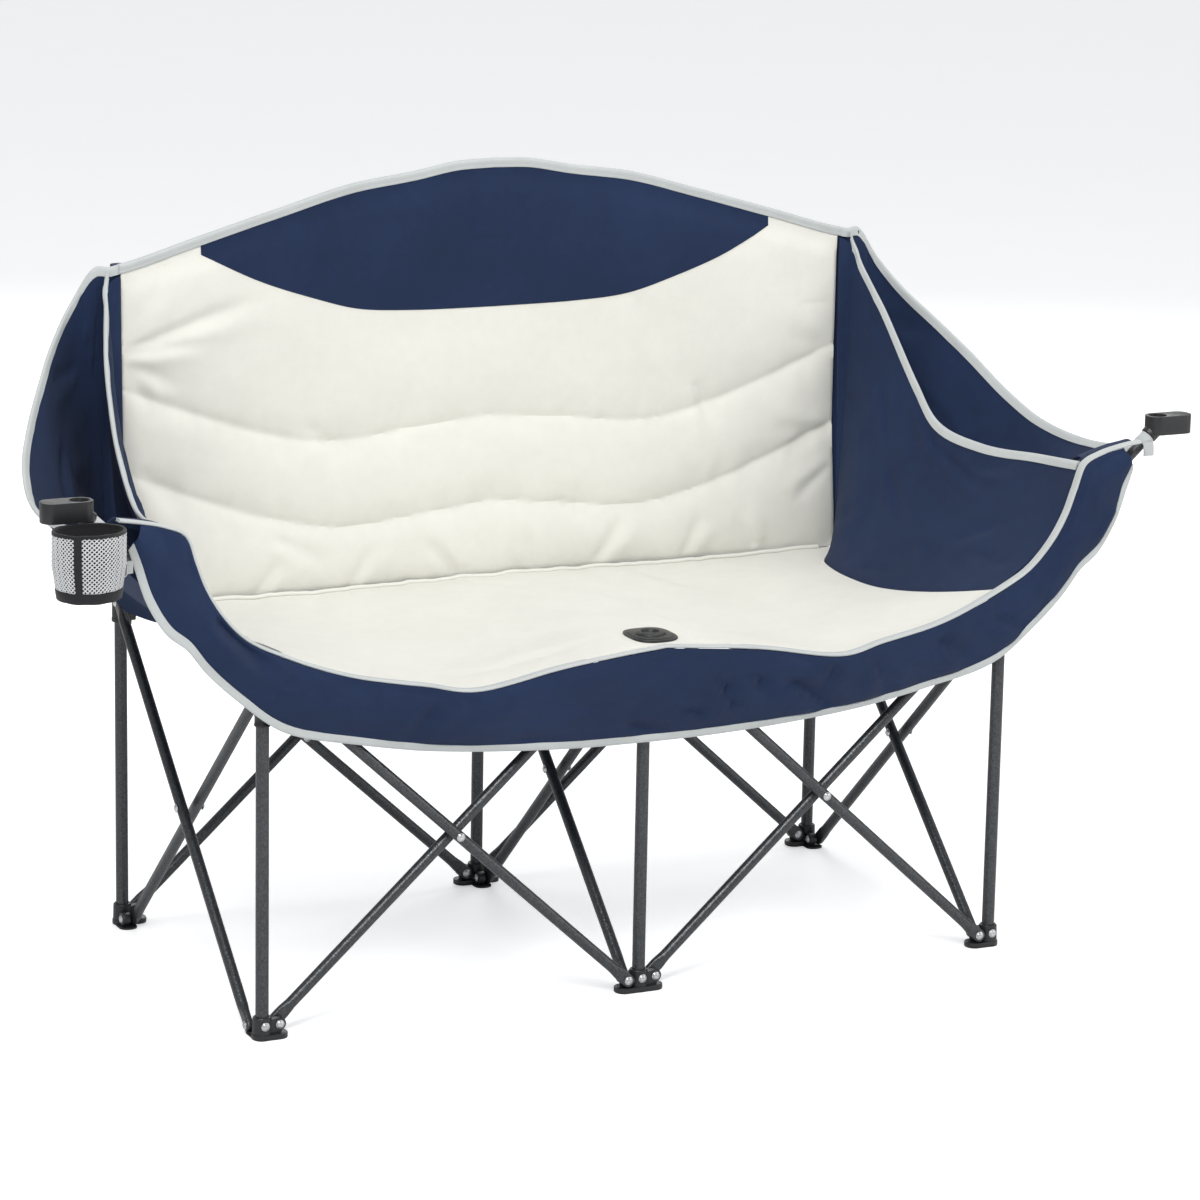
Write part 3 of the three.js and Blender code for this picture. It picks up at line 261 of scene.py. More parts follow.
class Noise:
    """Smooth, seeded value noise over a plane."""

    def __init__(self, seed: int, size: int = 64) -> None:
        """Fills the lattice.

        Args:
            seed: What fixes the values.
            size: Lattice points along each side before it repeats.
        """
        self.size = size
        self.values = np.random.RandomState(seed).uniform(-1, 1, (size, size))

    def at(self, x: np.ndarray, y: np.ndarray) -> np.ndarray:
        """Noise from -1 to 1 at places, one lattice step to a unit."""
        x0, y0 = np.floor(x).astype(int), np.floor(y).astype(int)
        fx, fy = smooth(x - x0), smooth(y - y0)
        n = self.size
        a = self.values[x0 % n, y0 % n]
        b = self.values[(x0 + 1) % n, y0 % n]
        c = self.values[x0 % n, (y0 + 1) % n]
        d = self.values[(x0 + 1) % n, (y0 + 1) % n]
        return (a * (1 - fx) + b * fx) * (1 - fy) + (c * (1 - fx) + d * fx) * fy

    def layered(self, x: np.ndarray, y: np.ndarray, layers: int = 3) -> np.ndarray:
        """Noise with finer and fainter noise on top."""
        total = np.zeros_like(np.asarray(x, float) + np.asarray(y, float))
        for k in range(layers):
            total = total + self.at(x * 2**k + 7.3 * k, y * 2**k + 3.1 * k) / 2**k
        return total / (2 - 0.5 ** (layers - 1))


# Meshes


@dataclass
class Shape:
    """Corners and faces of a mesh in the making, with a UV pair for each corner of a face."""

    points: list[np.ndarray] = field(default_factory=list)
    faces: list[tuple[int, ...]] = field(default_factory=list)
    uvs: list[tuple[float, float]] = field(default_factory=list)

    def add(self, other: "Shape") -> "Shape":
        """Takes in another shape beside this one."""
        base = len(self.points)
        self.points.extend(other.points)
        self.faces.extend(tuple(i + base for i in face) for face in other.faces)
        self.uvs.extend(other.uvs)
        return self

    def face(self, corners: Sequence[int], uvs: Sequence[tuple[float, float]]) -> None:
        """Adds one face with its UV pairs."""
        self.faces.append(tuple(corners))
        self.uvs.extend(uvs)

    def at(self, x: float, y: float, z: float = 0.0) -> "Shape":
        """The shape moved, not turned."""
        return self.placed(X_AXIS, Y_AXIS, Z_AXIS, np.array([x, y, z]))

    def placed(self, across: np.ndarray, up: np.ndarray, out: np.ndarray, origin: np.ndarray) -> "Shape":
        """The shape turned so that its own X, Y and Z run along three directions."""
        basis = np.array([across, up, out], float)
        turned = [np.asarray(p, float) @ basis + origin for p in self.points]
        made = Shape(turned, list(self.faces), list(self.uvs))
        if np.linalg.det(basis) < 0:
            start, fixed = 0, []
            made.faces = [tuple(reversed(f)) for f in self.faces]
            for f in self.faces:
                fixed.extend(reversed(self.uvs[start : start + len(f)]))
                start += len(f)
            made.uvs = fixed
        return made


def add_object(name: str, data: bpy.types.ID) -> bpy.types.Object:
    """Adds an object to the scene."""
    made = bpy.data.objects.new(name, data)
    bpy.context.scene.collection.objects.link(made)
    return made


def bake(piece: bpy.types.Object) -> bpy.types.Mesh:
    """Keeps what a piece's modifiers make of it as its plain, smooth mesh."""
    graph = bpy.context.evaluated_depsgraph_get()
    mesh = bpy.data.meshes.new_from_object(piece.evaluated_get(graph), depsgraph=graph)
    piece.modifiers.clear()
    piece.data = mesh
    mesh.shade_smooth()
    return mesh


class Maker:
    """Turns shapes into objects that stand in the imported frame."""

    def __init__(self, origin: Vector) -> None:
        """Keeps where the middle front upright stands.

        Args:
            origin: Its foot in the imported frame, in metres.
        """
        self.origin = np.array(origin, float)

    def to_frame(self, points: np.ndarray) -> np.ndarray:
        """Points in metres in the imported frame."""
        return np.asarray(points, float) / PER_METRE + self.origin

    def make(
        self, name: str, shape: Shape, finish: bpy.types.Material, angle: float = 40.0
    ) -> bpy.types.Object:
        """Makes one object.

        Args:
            name: The piece's name.
            shape: Its corners and faces, in millimetres.
            finish: Its material.
            angle: Edges flatter than this many degrees are smooth.

        Returns:
            The new object, at the origin.
        """
        mesh = bpy.data.meshes.new(name)
        mesh.from_pydata(self.to_frame(np.array(shape.points)).tolist(), [], shape.faces)
        layer = mesh.uv_layers.new(name="cloth")
        layer.data.foreach_set("uv", np.array(shape.uvs, np.float32).ravel())
        mesh.materials.append(finish)
        mesh.validate(clean_customdata=False)
        mesh.shade_smooth()
        mesh.set_sharp_from_angle(angle=math.radians(angle))
        return add_object(name, mesh)


def arc_lengths(rows: np.ndarray, axis: int) -> np.ndarray:
    """Distance travelled over a grid of points along one of its axes."""
    steps = np.linalg.norm(np.diff(rows, axis=axis), axis=2)
    shape = list(steps.shape)
    shape[axis] = 1
    return np.concatenate([np.zeros(shape), np.cumsum(steps, axis=axis)], axis=axis)


def grid_normals(rows: np.ndarray) -> np.ndarray:
    """Unit normals of a grid of points."""
    along = np.gradient(rows, axis=0)
    across = np.gradient(rows, axis=1)
    return unit(np.cross(across, along))


def two_faced(front: np.ndarray, back: np.ndarray, round_edge: float = 0.0) -> Shape:
    """A closed sheet or pad between two grids of points.

    Args:
        front: Points of the face that is seen, rows by columns by three.
        back: Points of the other face, in the same places.
        round_edge: How far the middle of the rim stands out, as a share of the thickness.

    Returns:
        The shape, its faces outwards, with UV pairs in metres.
    """
    rows, columns = front.shape[:2]
    u = arc_lengths(front, 1) / PER_METRE
    v = arc_lengths(front, 0) / PER_METRE
    u = u - u[:, -1:] / 2
    shape = Shape(list(front.reshape(-1, 3)) + list(back.reshape(-1, 3)))
    normal = np.cross(front[0, 1] - front[0, 0], front[1, 0] - front[0, 0])
    facing = float(np.dot(normal, front[0, 0] - back[0, 0])) > 0
    count = rows * columns

    def uv(index: int) -> tuple[float, float]:
        """The UV pair of a corner, the same on both faces."""
        cell = index % count
        return float(u[cell // columns, cell % columns]), float(v[cell // columns, cell % columns])

    def quad(corners: Sequence[int], outward: bool) -> None:
        """Adds one cell of a face, turned outwards."""
        order = list(corners) if outward else list(reversed(corners))
        shape.face(order, [uv(i) for i in order])

    for r in range(rows - 1):
        for c in range(columns - 1):
            a, b = r * columns + c, r * columns + c + 1
            d, e = a + columns, b + columns
            quad((a, b, e, d), facing)
            quad((a + count, b + count, e + count, d + count), not facing)
    rim = [(0, c) for c in range(columns - 1)]
    rim += [(r, columns - 1) for r in range(rows - 1)]
    rim += [(rows - 1, c) for c in range(columns - 1, 0, -1)]
    rim += [(r, 0) for r in range(rows - 1, 0, -1)]
    cells = [r * columns + c for r, c in rim]
    centre = front.reshape(-1, 3).mean(0)
    middle: list[int] = []
    if round_edge > 0:
        for i, cell in enumerate(cells):
            top, low = shape.points[cell], shape.points[cell + count]
            before = shape.points[cells[i - 1]]
            after = shape.points[cells[(i + 1) % len(cells)]]
            out = np.cross(after - before, top - low)
            if np.dot(out, top - centre) < 0:
                out = -out
            lift = round_edge * float(np.linalg.norm(top - low))
            middle.append(len(shape.points))
            shape.points.append((top + low) / 2 + unit(out) * lift)
    for i, cell in enumerate(cells):
        follow = cells[(i + 1) % len(cells)]
        pairs = [(cell, follow), (cell + count, follow + count)]
        if middle:
            pairs.insert(1, (middle[i], middle[(i + 1) % len(cells)]))
        for (a, b), (c, d) in zip(pairs, pairs[1:]):
            order = (b, a, c, d) if facing else (a, b, d, c)
            shape.face(order, [uv(cell) if k in (a, c) else uv(follow) for k in order])
    return shape


def strip(sections: np.ndarray, length: np.ndarray, girth: np.ndarray, closed_ends: bool = True) -> Shape:
    """Skins a row of closed sections, such as a tape or a tube.

    Args:
        sections: Points of each section, sections by points by three.
        length: Distance of each section along the piece, in millimetres.
        girth: Distance of each point round its section, one more than there are points.
        closed_ends: Whether both ends get a face.

    Returns:
        The shape with UV pairs in metres: round the section and along the piece.
    """
    rows, count = sections.shape[:2]
    shape = Shape(list(sections.reshape(-1, 3)))
    middle = sections[0].mean(0)
    ahead = sections[min(1, rows - 1)].mean(0) - middle
    turn = np.cross(sections[0, 0] - middle, sections[0, 1] - middle)
    outward = float(np.dot(turn, ahead)) > 0
    for r in range(rows - 1):
        for c in range(count):
            side = (c + 1) % count
            corners = [(r, c, c), (r, side, c + 1), (r + 1, side, c + 1), (r + 1, c, c)]
            corners = corners if outward else corners[::-1]
            shape.face(
                [i * count + j for i, j, _ in corners],
                [(girth[k] / PER_METRE, length[i] / PER_METRE) for i, _, k in corners],
            )
    if closed_ends:
        first, last = list(range(count)), list(range((rows - 1) * count, rows * count))
        ends = (first[::-1], last) if outward else (first, last[::-1])
        for corners in ends:
            shape.face(corners, [(girth[i % count] / PER_METRE, 0.0) for i in corners])
    return shape


def lathe(profile: Sequence[tuple[float, float]], count: int = 32) -> Shape:
    """A closed round piece about its own Z axis.

    Args:
        profile: Radius and height pairs, from the axis round to the axis again.
        count: Steps round the axis.

    Returns:
        The shape.
    """
    shape = Shape()
    rings: list[list[int]] = []
    for radius, height in profile:
        if radius <= 1e-6:
            rings.append([len(shape.points)])
            shape.points.append(np.array([0.0, 0.0, height]))
            continue
        rings.append(list(range(len(shape.points), len(shape.points) + count)))
        for i in range(count):
            turn = 2 * math.pi * i / count
            shape.points.append(np.array([radius * math.cos(turn), radius * math.sin(turn), height]))
    travelled = 0.0
    for (low, high), (start, end) in zip(zip(rings, rings[1:]), zip(profile, profile[1:])):
        step = math.dist(start, end)
        for i in range(count):
            j = (i + 1) % count
            radius = max(start[0], end[0]) / PER_METRE
            a, b = 2 * math.pi * i / count * radius, 2 * math.pi * (i + 1) / count * radius
            v0, v1 = travelled / PER_METRE, (travelled + step) / PER_METRE
            if len(low) == 1 and len(high) == 1:
                continue
            if len(low) == 1:
                shape.face((low[0], high[j], high[i]), [(a, v0), (b, v1), (a, v1)])
            elif len(high) == 1:
                shape.face((low[i], low[j], high[0]), [(a, v0), (b, v0), (a, v1)])
            else:
                shape.face((low[i], low[j], high[j], high[i]), [(a, v0), (b, v0), (b, v1), (a, v1)])
        travelled += step
    return shape


def prism(outline: np.ndarray, bottom: float, top: float, edge: float) -> Shape:
    """A plate with softened edges, its outline in its own X and Y.

    Args:
        outline: Corners, anticlockwise, two numbers a row.
        bottom: Height of its lower face.
        top: Height of its upper face.
        edge: Width of the softened edge.

    Returns:
        The shape.
    """
    outline = np.asarray(outline, float)
    ahead = unit(np.roll(outline, -1, axis=0) - outline)
    behind = unit(outline - np.roll(outline, 1, axis=0))
    tangent = unit(ahead + behind)
    normal = np.stack([tangent[:, 1], -tangent[:, 0]], axis=1)
    small = edge * (1 - math.cos(math.pi / 4))
    levels = [
        (edge, bottom), (small, bottom + small), (0.0, bottom + edge),
        (0.0, top - edge), (small, top - small), (edge, top),
    ]
    rings = [np.column_stack([outline - normal * inset, np.full(len(outline), z)]) for inset, z in levels]
    sections = np.array(rings)
    return strip(sections, np.array([z for _, z in levels]), ring_lengths(outline))


def rounded_outline(
    left: float, right: float, front: float, back: float, corner: float, steps: int = 6
) -> np.ndarray:
    """A rectangle with round corners, anticlockwise."""
    made = []
    for cx, cy, start in (
        (right - corner, front + corner, -90), (right - corner, back - corner, 0),
        (left + corner, back - corner, 90), (left + corner, front + corner, 180),
    ):
        for k in range(steps + 1):
            turn = math.radians(start + 90 * k / steps)
            made.append((cx + corner * math.cos(turn), cy + corner * math.sin(turn)))
    return np.array(made)


# Finishes


class Value:
    """A number socket that Python's operators work on."""

    def __init__(self, shader: "Shader", socket: bpy.types.NodeSocket) -> None:
        """Wraps a socket of a shader's tree."""
        self.shader = shader
        self.socket = socket

    def _math(self, operation: str, *others: "Value | float") -> "Value":
        """Adds one Math node on this value and others."""
        operands = dict(enumerate([self, *others]))
        node = self.shader.node("ShaderNodeMath", {"operation": operation}, operands)
        return Value(self.shader, node.outputs[0])

    def __add__(self, other: "Value | float") -> "Value":
        """Sum."""
        return self._math("ADD", other)

    def __mul__(self, other: "Value | float") -> "Value":
        """Product."""
        return self._math("MULTIPLY", other)

    def __sub__(self, other: "Value | float") -> "Value":
        """Difference."""
        return self._math("SUBTRACT", other)

    def sine(self) -> "Value":
        """Sine of the value in radians."""
        return self._math("SINE")

    def absolute(self) -> "Value":
        """Size without sign."""
        return self._math("ABSOLUTE")

    def least(self, other: "Value | float") -> "Value":
        """The smaller of two values."""
        return self._math("MINIMUM", other)

    def most(self, other: "Value | float") -> "Value":
        """The larger of two values."""
        return self._math("MAXIMUM", other)

    def between(self, low: float, high: float) -> "Value":
        """A soft step from 0 at low to 1 at high."""
        node = self.shader.node(
            "ShaderNodeMapRange",
            {"interpolation_type": "SMOOTHSTEP"},
            {"Value": self, "From Min": low, "From Max": high},
        )
        return Value(self.shader, node.outputs[0])


class Shader:
    """One material's tree and the few steps that build it."""

    def __init__(self, name: str) -> None:
        """Starts a material with a principled surface."""
        self.material = bpy.data.materials.new(name)
        self.material.use_nodes = True
        self.tree = self.material.node_tree
        self.tree.nodes.clear()
        self.surface = self.node("ShaderNodeBsdfPrincipled")
        self.output = self.node("ShaderNodeOutputMaterial", None, {"Surface": self.surface.outputs[0]})

    def node(self, kind: str, settings: dict | None = None, inputs: dict | None = None) -> bpy.types.Node:
        """Adds a node.

        Args:
            kind: Its type.
            settings: Its own settings, set first.
            inputs: A value or a link for each of its sockets, by name or by number.

        Returns:
            The node.
        """
        made = self.tree.nodes.new(kind)
        for key, value in (settings or {}).items():
            setattr(made, key, value)
        for key, value in (inputs or {}).items():
            socket, value = made.inputs[key], getattr(value, "socket", value)
            if isinstance(value, bpy.types.NodeSocket):
                self.tree.links.new(value, socket)
            else:
                socket.default_value = value
        return made

    def fixed(self, **values: float) -> None:
        """Sets sockets of the surface that are the same all over it."""
        for key, value in values.items():
            self.surface.inputs[key.replace("_", " ").title().replace("Ior", "IOR")].default_value = value

    def feed(self, name: str, value: "Value | bpy.types.NodeSocket") -> None:
        """Links one varying socket of the surface."""
        socket = value.socket if isinstance(value, Value) else value
        self.tree.links.new(socket, self.surface.inputs[name])

    def along(self) -> tuple[Value, Value]:
        """The two numbers of the piece's own UV map, in metres."""
        node = self.node("ShaderNodeUVMap", {"uv_map": "cloth"})
        parts = self.node("ShaderNodeSeparateXYZ", None, {0: node.outputs[0]})
        return Value(self, parts.outputs[0]), Value(self, parts.outputs[1])

    def place(self) -> bpy.types.NodeSocket:
        """Object coordinates, in metres."""
        return self.node("ShaderNodeTexCoord").outputs["Object"]

    def noise(self, scale: float, detail: float, roughness: float) -> Value:
        """Soft noise from 0 to 1 over the object."""
        node = self.node(
            "ShaderNodeTexNoise",
            None,
            {"Vector": self.place(), "Scale": scale, "Detail": detail, "Roughness": roughness},
        )
        return Value(self, node.outputs[0])

    def cells(self, scale: float) -> Value:
        """Distance inside smooth cells over the object."""
        node = self.node(
            "ShaderNodeTexVoronoi",
            {"feature": "SMOOTH_F1"},
            {"Vector": self.place(), "Scale": scale, "Smoothness": 0.6},
        )
        return Value(self, node.outputs[0])

    def blend(self, factor: Value, low: Sequence[float], high: Sequence[float]) -> bpy.types.NodeSocket:
        """A colour between two, by a factor."""
        inputs = {"Factor": factor, 6: (*low, 1.0), 7: (*high, 1.0)}
        return self.node("ShaderNodeMix", {"data_type": "RGBA"}, inputs).outputs[2]

    def bump(self, height: Value, distance: float, strength: float = 1.0) -> None:
        """Lets a height show on the surface.

        Args:
            height: From 0 to 1.
            distance: What a height of 1 stands for, in metres.
            strength: Share of the effect.
        """
        node = self.node("ShaderNodeBump", None, {"Height": height, "Distance": distance, "Strength": strength})
        self.feed("Normal", node.outputs[0])


def shade(colour: Sequence[float], share: float) -> tuple[float, ...]:
    """A colour made lighter or darker by a share."""
    return tuple(min(1.0, c * share) for c in colour)


@dataclass(frozen=True)
class Cloth:
    """Woven polyester: crossed threads, a soft sheen and a faint unevenness."""

    name: str
    colour: tuple[float, float, float]
    thread: float = 0.0011
    relief: float = 0.00022
    roughness: float = 0.82
    sheen: float = 0.25
    contrast: float = 0.12

    def build(self) -> bpy.types.Material:
        """Makes the material."""
        shader = Shader(self.name)
        u, v = shader.along()
        turn = 2 * math.pi / self.thread
        warp, weft = (u * turn).sine(), (v * turn).sine()
        weave = warp * weft * 0.5 + 0.5
        ribs = (u * (turn * 2)).sine().absolute() * (v * (turn * 2)).sine().absolute()
        slub = shader.noise(900, 3, 0.6)
        wash = shader.noise(7, 4, 0.55)
        fine = shader.noise(60, 3, 0.6)
        height = weave * 0.5 + ribs * 0.3 + slub * 0.2
        tone = (wash * 0.5 + fine * 0.3 + weave * 0.2).between(0.25, 0.8)
        dark, light = (shade(self.colour, share) for share in (1 - self.contrast, 1 + self.contrast / 3))
        colour = shader.blend(tone, dark, light)
        shader.feed("Base Color", colour)
        shader.feed("Roughness", (fine * 0.12 + (self.roughness - 0.06)).least(1.0))
        shader.fixed(sheen_weight=self.sheen, sheen_roughness=0.4, specular_ior_level=0.2)
        shader.bump(height + fine * 0.6, self.relief)
        return shader.material


@dataclass(frozen=True)
class Tape:
    """Woven edge tape: fine ribs across its length and a brushed surface."""

    name: str
    colour: tuple[float, float, float]
    rib: float = 0.0016
    relief: float = 0.00025
    roughness: float = 0.8

    def build(self) -> bpy.types.Material:
        """Makes the material."""
        shader = Shader(self.name)
        u, v = shader.along()
        slant = (v + u * 0.5) * (2 * math.pi / self.rib)
        cross = (v - u * 0.5) * (2 * math.pi / self.rib)
        ribs = (slant.sine() * 0.5 + 0.5).most(cross.sine() * 0.5 + 0.5)
        fuzz = shader.noise(1400, 2, 0.6)
        wear = shader.noise(22, 4, 0.6)
        tone = (ribs * 0.35 + fuzz * 0.3 + wear * 0.35).between(0.25, 0.8)
        shader.feed("Base Color", shader.blend(tone, shade(self.colour, 0.8), shade(self.colour, 1.06)))
        shader.feed("Roughness", wear * 0.12 + (self.roughness - 0.06))
        shader.fixed(sheen_weight=0.2, sheen_roughness=0.4, specular_ior_level=0.3)
        shader.bump(ribs * 0.7 + fuzz * 0.3, self.relief)
        return shader.material


@dataclass(frozen=True)
class Hammered:
    """Powder-coated steel with a hammered texture."""

    name: str
    colour: tuple[float, float, float]

    def build(self) -> bpy.types.Material:
        """Makes the material."""
        shader = Shader(self.name)
        dimple = shader.cells(420)
        ripple = shader.noise(260, 3, 0.6)
        wear = shader.noise(14, 5, 0.6)
        tone = (dimple * 0.5 + ripple * 0.5).between(0.2, 0.75)
        shader.feed("Base Color", shader.blend(tone, shade(self.colour, 0.7), shade(self.colour, 1.45)))
        shader.feed("Roughness", wear * 0.12 + dimple * 0.18 + 0.2)
        shader.fixed(metallic=0.55, specular_ior_level=0.6)
        shader.bump(dimple * 0.7 + ripple * 0.3, 0.00045, 0.8)
        return shader.material


@dataclass(frozen=True)
class Moulded:
    """Moulded nylon: fine grain, lighter scuffs and an even satin."""

    name: str
    colour: tuple[float, float, float]
    roughness: float = 0.42

    def build(self) -> bpy.types.Material:
        """Makes the material."""
        shader = Shader(self.name)
        grain = shader.noise(1800, 3, 0.6)
        flow = shader.noise(45, 4, 0.6)
        scuff = shader.noise(150, 5, 0.7).between(0.56, 0.74)
        tone = flow * 0.5 + grain * 0.3 + scuff * 0.4
        shader.feed("Base Color", shader.blend(tone, shade(self.colour, 0.75), shade(self.colour, 1.7)))
        shader.feed("Roughness", grain * 0.1 + scuff * 0.15 + (self.roughness - 0.05))
        shader.fixed(specular_ior_level=0.5)
        shader.bump(grain * 0.7 + flow * 0.3, 0.00016)
        return shader.material


@dataclass(frozen=True)
class Plated:
    """Zinc-plated steel with a faint brushed bloom."""

    name: str
    colour: tuple[float, float, float] = (0.62, 0.63, 0.64)

    def build(self) -> bpy.types.Material:
        """Makes the material."""
        shader = Shader(self.name)
        bloom = shader.noise(500, 4, 0.6)
        spot = shader.noise(90, 3, 0.5)
        shader.feed("Base Color", shader.blend(spot, shade(self.colour, 0.72), shade(self.colour, 1.15)))
        shader.feed("Roughness", bloom * 0.2 + 0.24)
        shader.fixed(metallic=1.0)
        shader.bump(bloom, 0.00012)
        return shader.material


@dataclass(frozen=True)
class Wardrobe:
    """Every finish of the chair, made once."""

    cream: bpy.types.Material
    navy: bpy.types.Material
    tape: bpy.types.Material
    webbing: bpy.types.Material
    black_tape: bpy.types.Material
    cream_thread: bpy.types.Material
    navy_thread: bpy.types.Material
    grey_thread: bpy.types.Material
    net_light: bpy.types.Material
    net_dark: bpy.types.Material
    steel: bpy.types.Material
    plastic: bpy.types.Material
    zinc: bpy.types.Material

    @staticmethod
    def sewn() -> "Wardrobe":
        """Makes the finishes."""
        cream = (0.82, 0.81, 0.745)
        navy = (0.0155, 0.0305, 0.081)
        grey = (0.52, 0.545, 0.54)
        return Wardrobe(
            cream=Cloth("cream_cloth", cream, contrast=0.07).build(),
            navy=Cloth("navy_cloth", navy, thread=0.0013, relief=0.0003, sheen=0.04, contrast=0.3).build(),
            tape=Tape("edge_tape", grey).build(),
            webbing=Tape("webbing", shade(grey, 0.97), rib=0.0024, relief=0.0004).build(),
            black_tape=Tape("black_tape", (0.013, 0.013, 0.015)).build(),
            cream_thread=Tape("cream_thread", shade(cream, 0.9), rib=0.0007).build(),
            navy_thread=Tape("navy_thread", (0.014, 0.022, 0.055), rib=0.0007).build(),
            grey_thread=Tape("grey_thread", shade(grey, 1.1), rib=0.0007).build(),
            net_light=Tape("net_light", (0.62, 0.63, 0.64), rib=0.0009).build(),
            net_dark=Tape("net_dark", (0.016, 0.016, 0.018), rib=0.0009).build(),
            steel=Hammered("hammered_steel", (0.05, 0.052, 0.056)).build(),
            plastic=Moulded("moulded_plastic", (0.0125, 0.0128, 0.0138)).build(),
            zinc=Plated("zinc").build(),
        )


# Repeated pieces, by Geometry Nodes


class Tree:
    """A Geometry Nodes tree that turns one geometry into another."""

    def __init__(self, name: str, **kinds: str) -> None:
        """Starts the tree with an input of a kind for each name."""
        self.tree = bpy.data.node_groups.new(name, "GeometryNodeTree")
        face = self.tree.interface
        for socket, kind in {"Geometry": "Geometry", **kinds}.items():
            face.new_socket(socket, in_out="INPUT", socket_type=f"NodeSocket{kind}")
        face.new_socket("Geometry", in_out="OUTPUT", socket_type="NodeSocketGeometry")
        self.into = self._node("NodeGroupInput").outputs

    def _node(self, kind: str, **inputs: bpy.types.NodeSocket | str | bool) -> bpy.types.Node:
        """Adds a node and joins or sets its inputs by name."""
        made = self.tree.nodes.new(kind)
        for name, source in inputs.items():
            socket = made.inputs[name.replace("_", " ")]
            if isinstance(source, bpy.types.NodeSocket):
                self.tree.links.new(source, socket)
            else:
                socket.default_value = source
        return made

    def _close(self, copies: bpy.types.NodeSocket) -> None:
        """Ends the tree: real meshes in the finish that is asked for."""
        real = self._node("GeometryNodeRealizeInstances", Geometry=copies)
        dressed = self._node("GeometryNodeSetMaterial", Geometry=real.outputs[0], Material=self.into["Finish"])
        self._node("NodeGroupOutput", Geometry=dressed.outputs[0])

    def run(self, name: str, carrier: bpy.types.Mesh, **values: object) -> bpy.types.Object:
        """Runs the tree once on a mesh and keeps the result as a plain mesh.

        Args:
            name: Name of the new piece.
            carrier: The mesh that the tree starts from, in metres.
            values: A value for each of the tree's named inputs.

        Returns:
            The new object, with no modifier on it.
        """
        piece = add_object(name, carrier)
        modifier = piece.modifiers.new("copies", "NODES")
        modifier.node_group = self.tree
        for item in self.tree.interface.items_tree:
            if item.in_out == "INPUT" and item.name in values:
                modifier[item.identifier] = values[item.name]
        bake(piece).name = name
        return piece


class Repeater(Tree):
    """A Geometry Nodes tree that puts one small mesh along a line or on marked points."""

    # Metres between copies along a line. Real stitches are far closer together, about 0.0046.
    spacing = 0.1

    def __init__(self, name: str, along_line: bool) -> None:
        """Builds the tree.

        Args:
            name: The tree's name.
            along_line: True to space the copies along a line; False to put one on each point,
                turned to its "aim" attribute.
        """
        super().__init__(name, Copy="Object", Unevenness="Float", Seed="Int", Finish="Material")
        into = self.into
        copy = self._node("GeometryNodeObjectInfo", Object=into["Copy"])
        if along_line:
            line = self._node("GeometryNodeMeshToCurve", Mesh=into["Geometry"])
            dots = self._node("GeometryNodeCurveToPoints", Curve=line.outputs[0])
            dots.mode = "LENGTH"
            dots.inputs["Length"].default_value = self.spacing
            points, turned = dots.outputs["Points"], dots.outputs["Rotation"]
        else:
            aim = self._node("GeometryNodeInputNamedAttribute", Name="aim")
            aim.data_type = "FLOAT_VECTOR"
            turn = self._node("FunctionNodeAlignRotationToVector", Vector=aim.outputs[0])
            turn.axis = "Z"
            points, turned = into["Geometry"], turn.outputs[0]
        uneven = self._node("FunctionNodeRandomValue", Seed=into["Seed"])
        uneven.data_type = "FLOAT"
        self.tree.links.new(into["Unevenness"], self._socket(uneven.inputs, "Max"))
        size = self._node("ShaderNodeMath")
        size.operation = "SUBTRACT"
        size.inputs[0].default_value = 1.0
        self.tree.links.new(self._socket(uneven.outputs, "Value"), size.inputs[1])
        placed = self._node(
            "GeometryNodeInstanceOnPoints",
            Points=points,
            Instance=copy.outputs["Geometry"],
            Rotation=turned,
            Scale=size.outputs[0],
        )
        self._close(placed.outputs[0])

    @staticmethod
    def _socket(sockets: Iterable[bpy.types.NodeSocket], name: str) -> bpy.types.NodeSocket:
        """The live number socket of a name, on a node that keeps one for each data type."""
        return next(s for s in sockets if s.name == name and s.type == "VALUE" and s.enabled)


class Spinner(Tree):
    """A Geometry Nodes tree that turns the edges of a mesh into round threads."""

    def __init__(self) -> None:
        """Builds the tree."""
        super().__init__("threads_on_edges", Radius="Float", Sides="Int", Finish="Material")
        line = self._node("GeometryNodeMeshToCurve", Mesh=self.into["Geometry"])
        ring = self._node(
            "GeometryNodeCurvePrimitiveCircle", Radius=self.into["Radius"], Resolution=self.into["Sides"]
        )
        skin = self._node(
            "GeometryNodeCurveToMesh", Curve=line.outputs[0], Profile_Curve=ring.outputs[0], Fill_Caps=True
        )
        self._close(skin.outputs[0])


def carried(piece: bpy.types.Object, body: str, slot: str, *nodes: str) -> bpy.types.Object:
    """Puts a piece on a body of the frame, in place of its nodes."""
    if nodes:
        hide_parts(*nodes)
    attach(piece, body)
    return piece


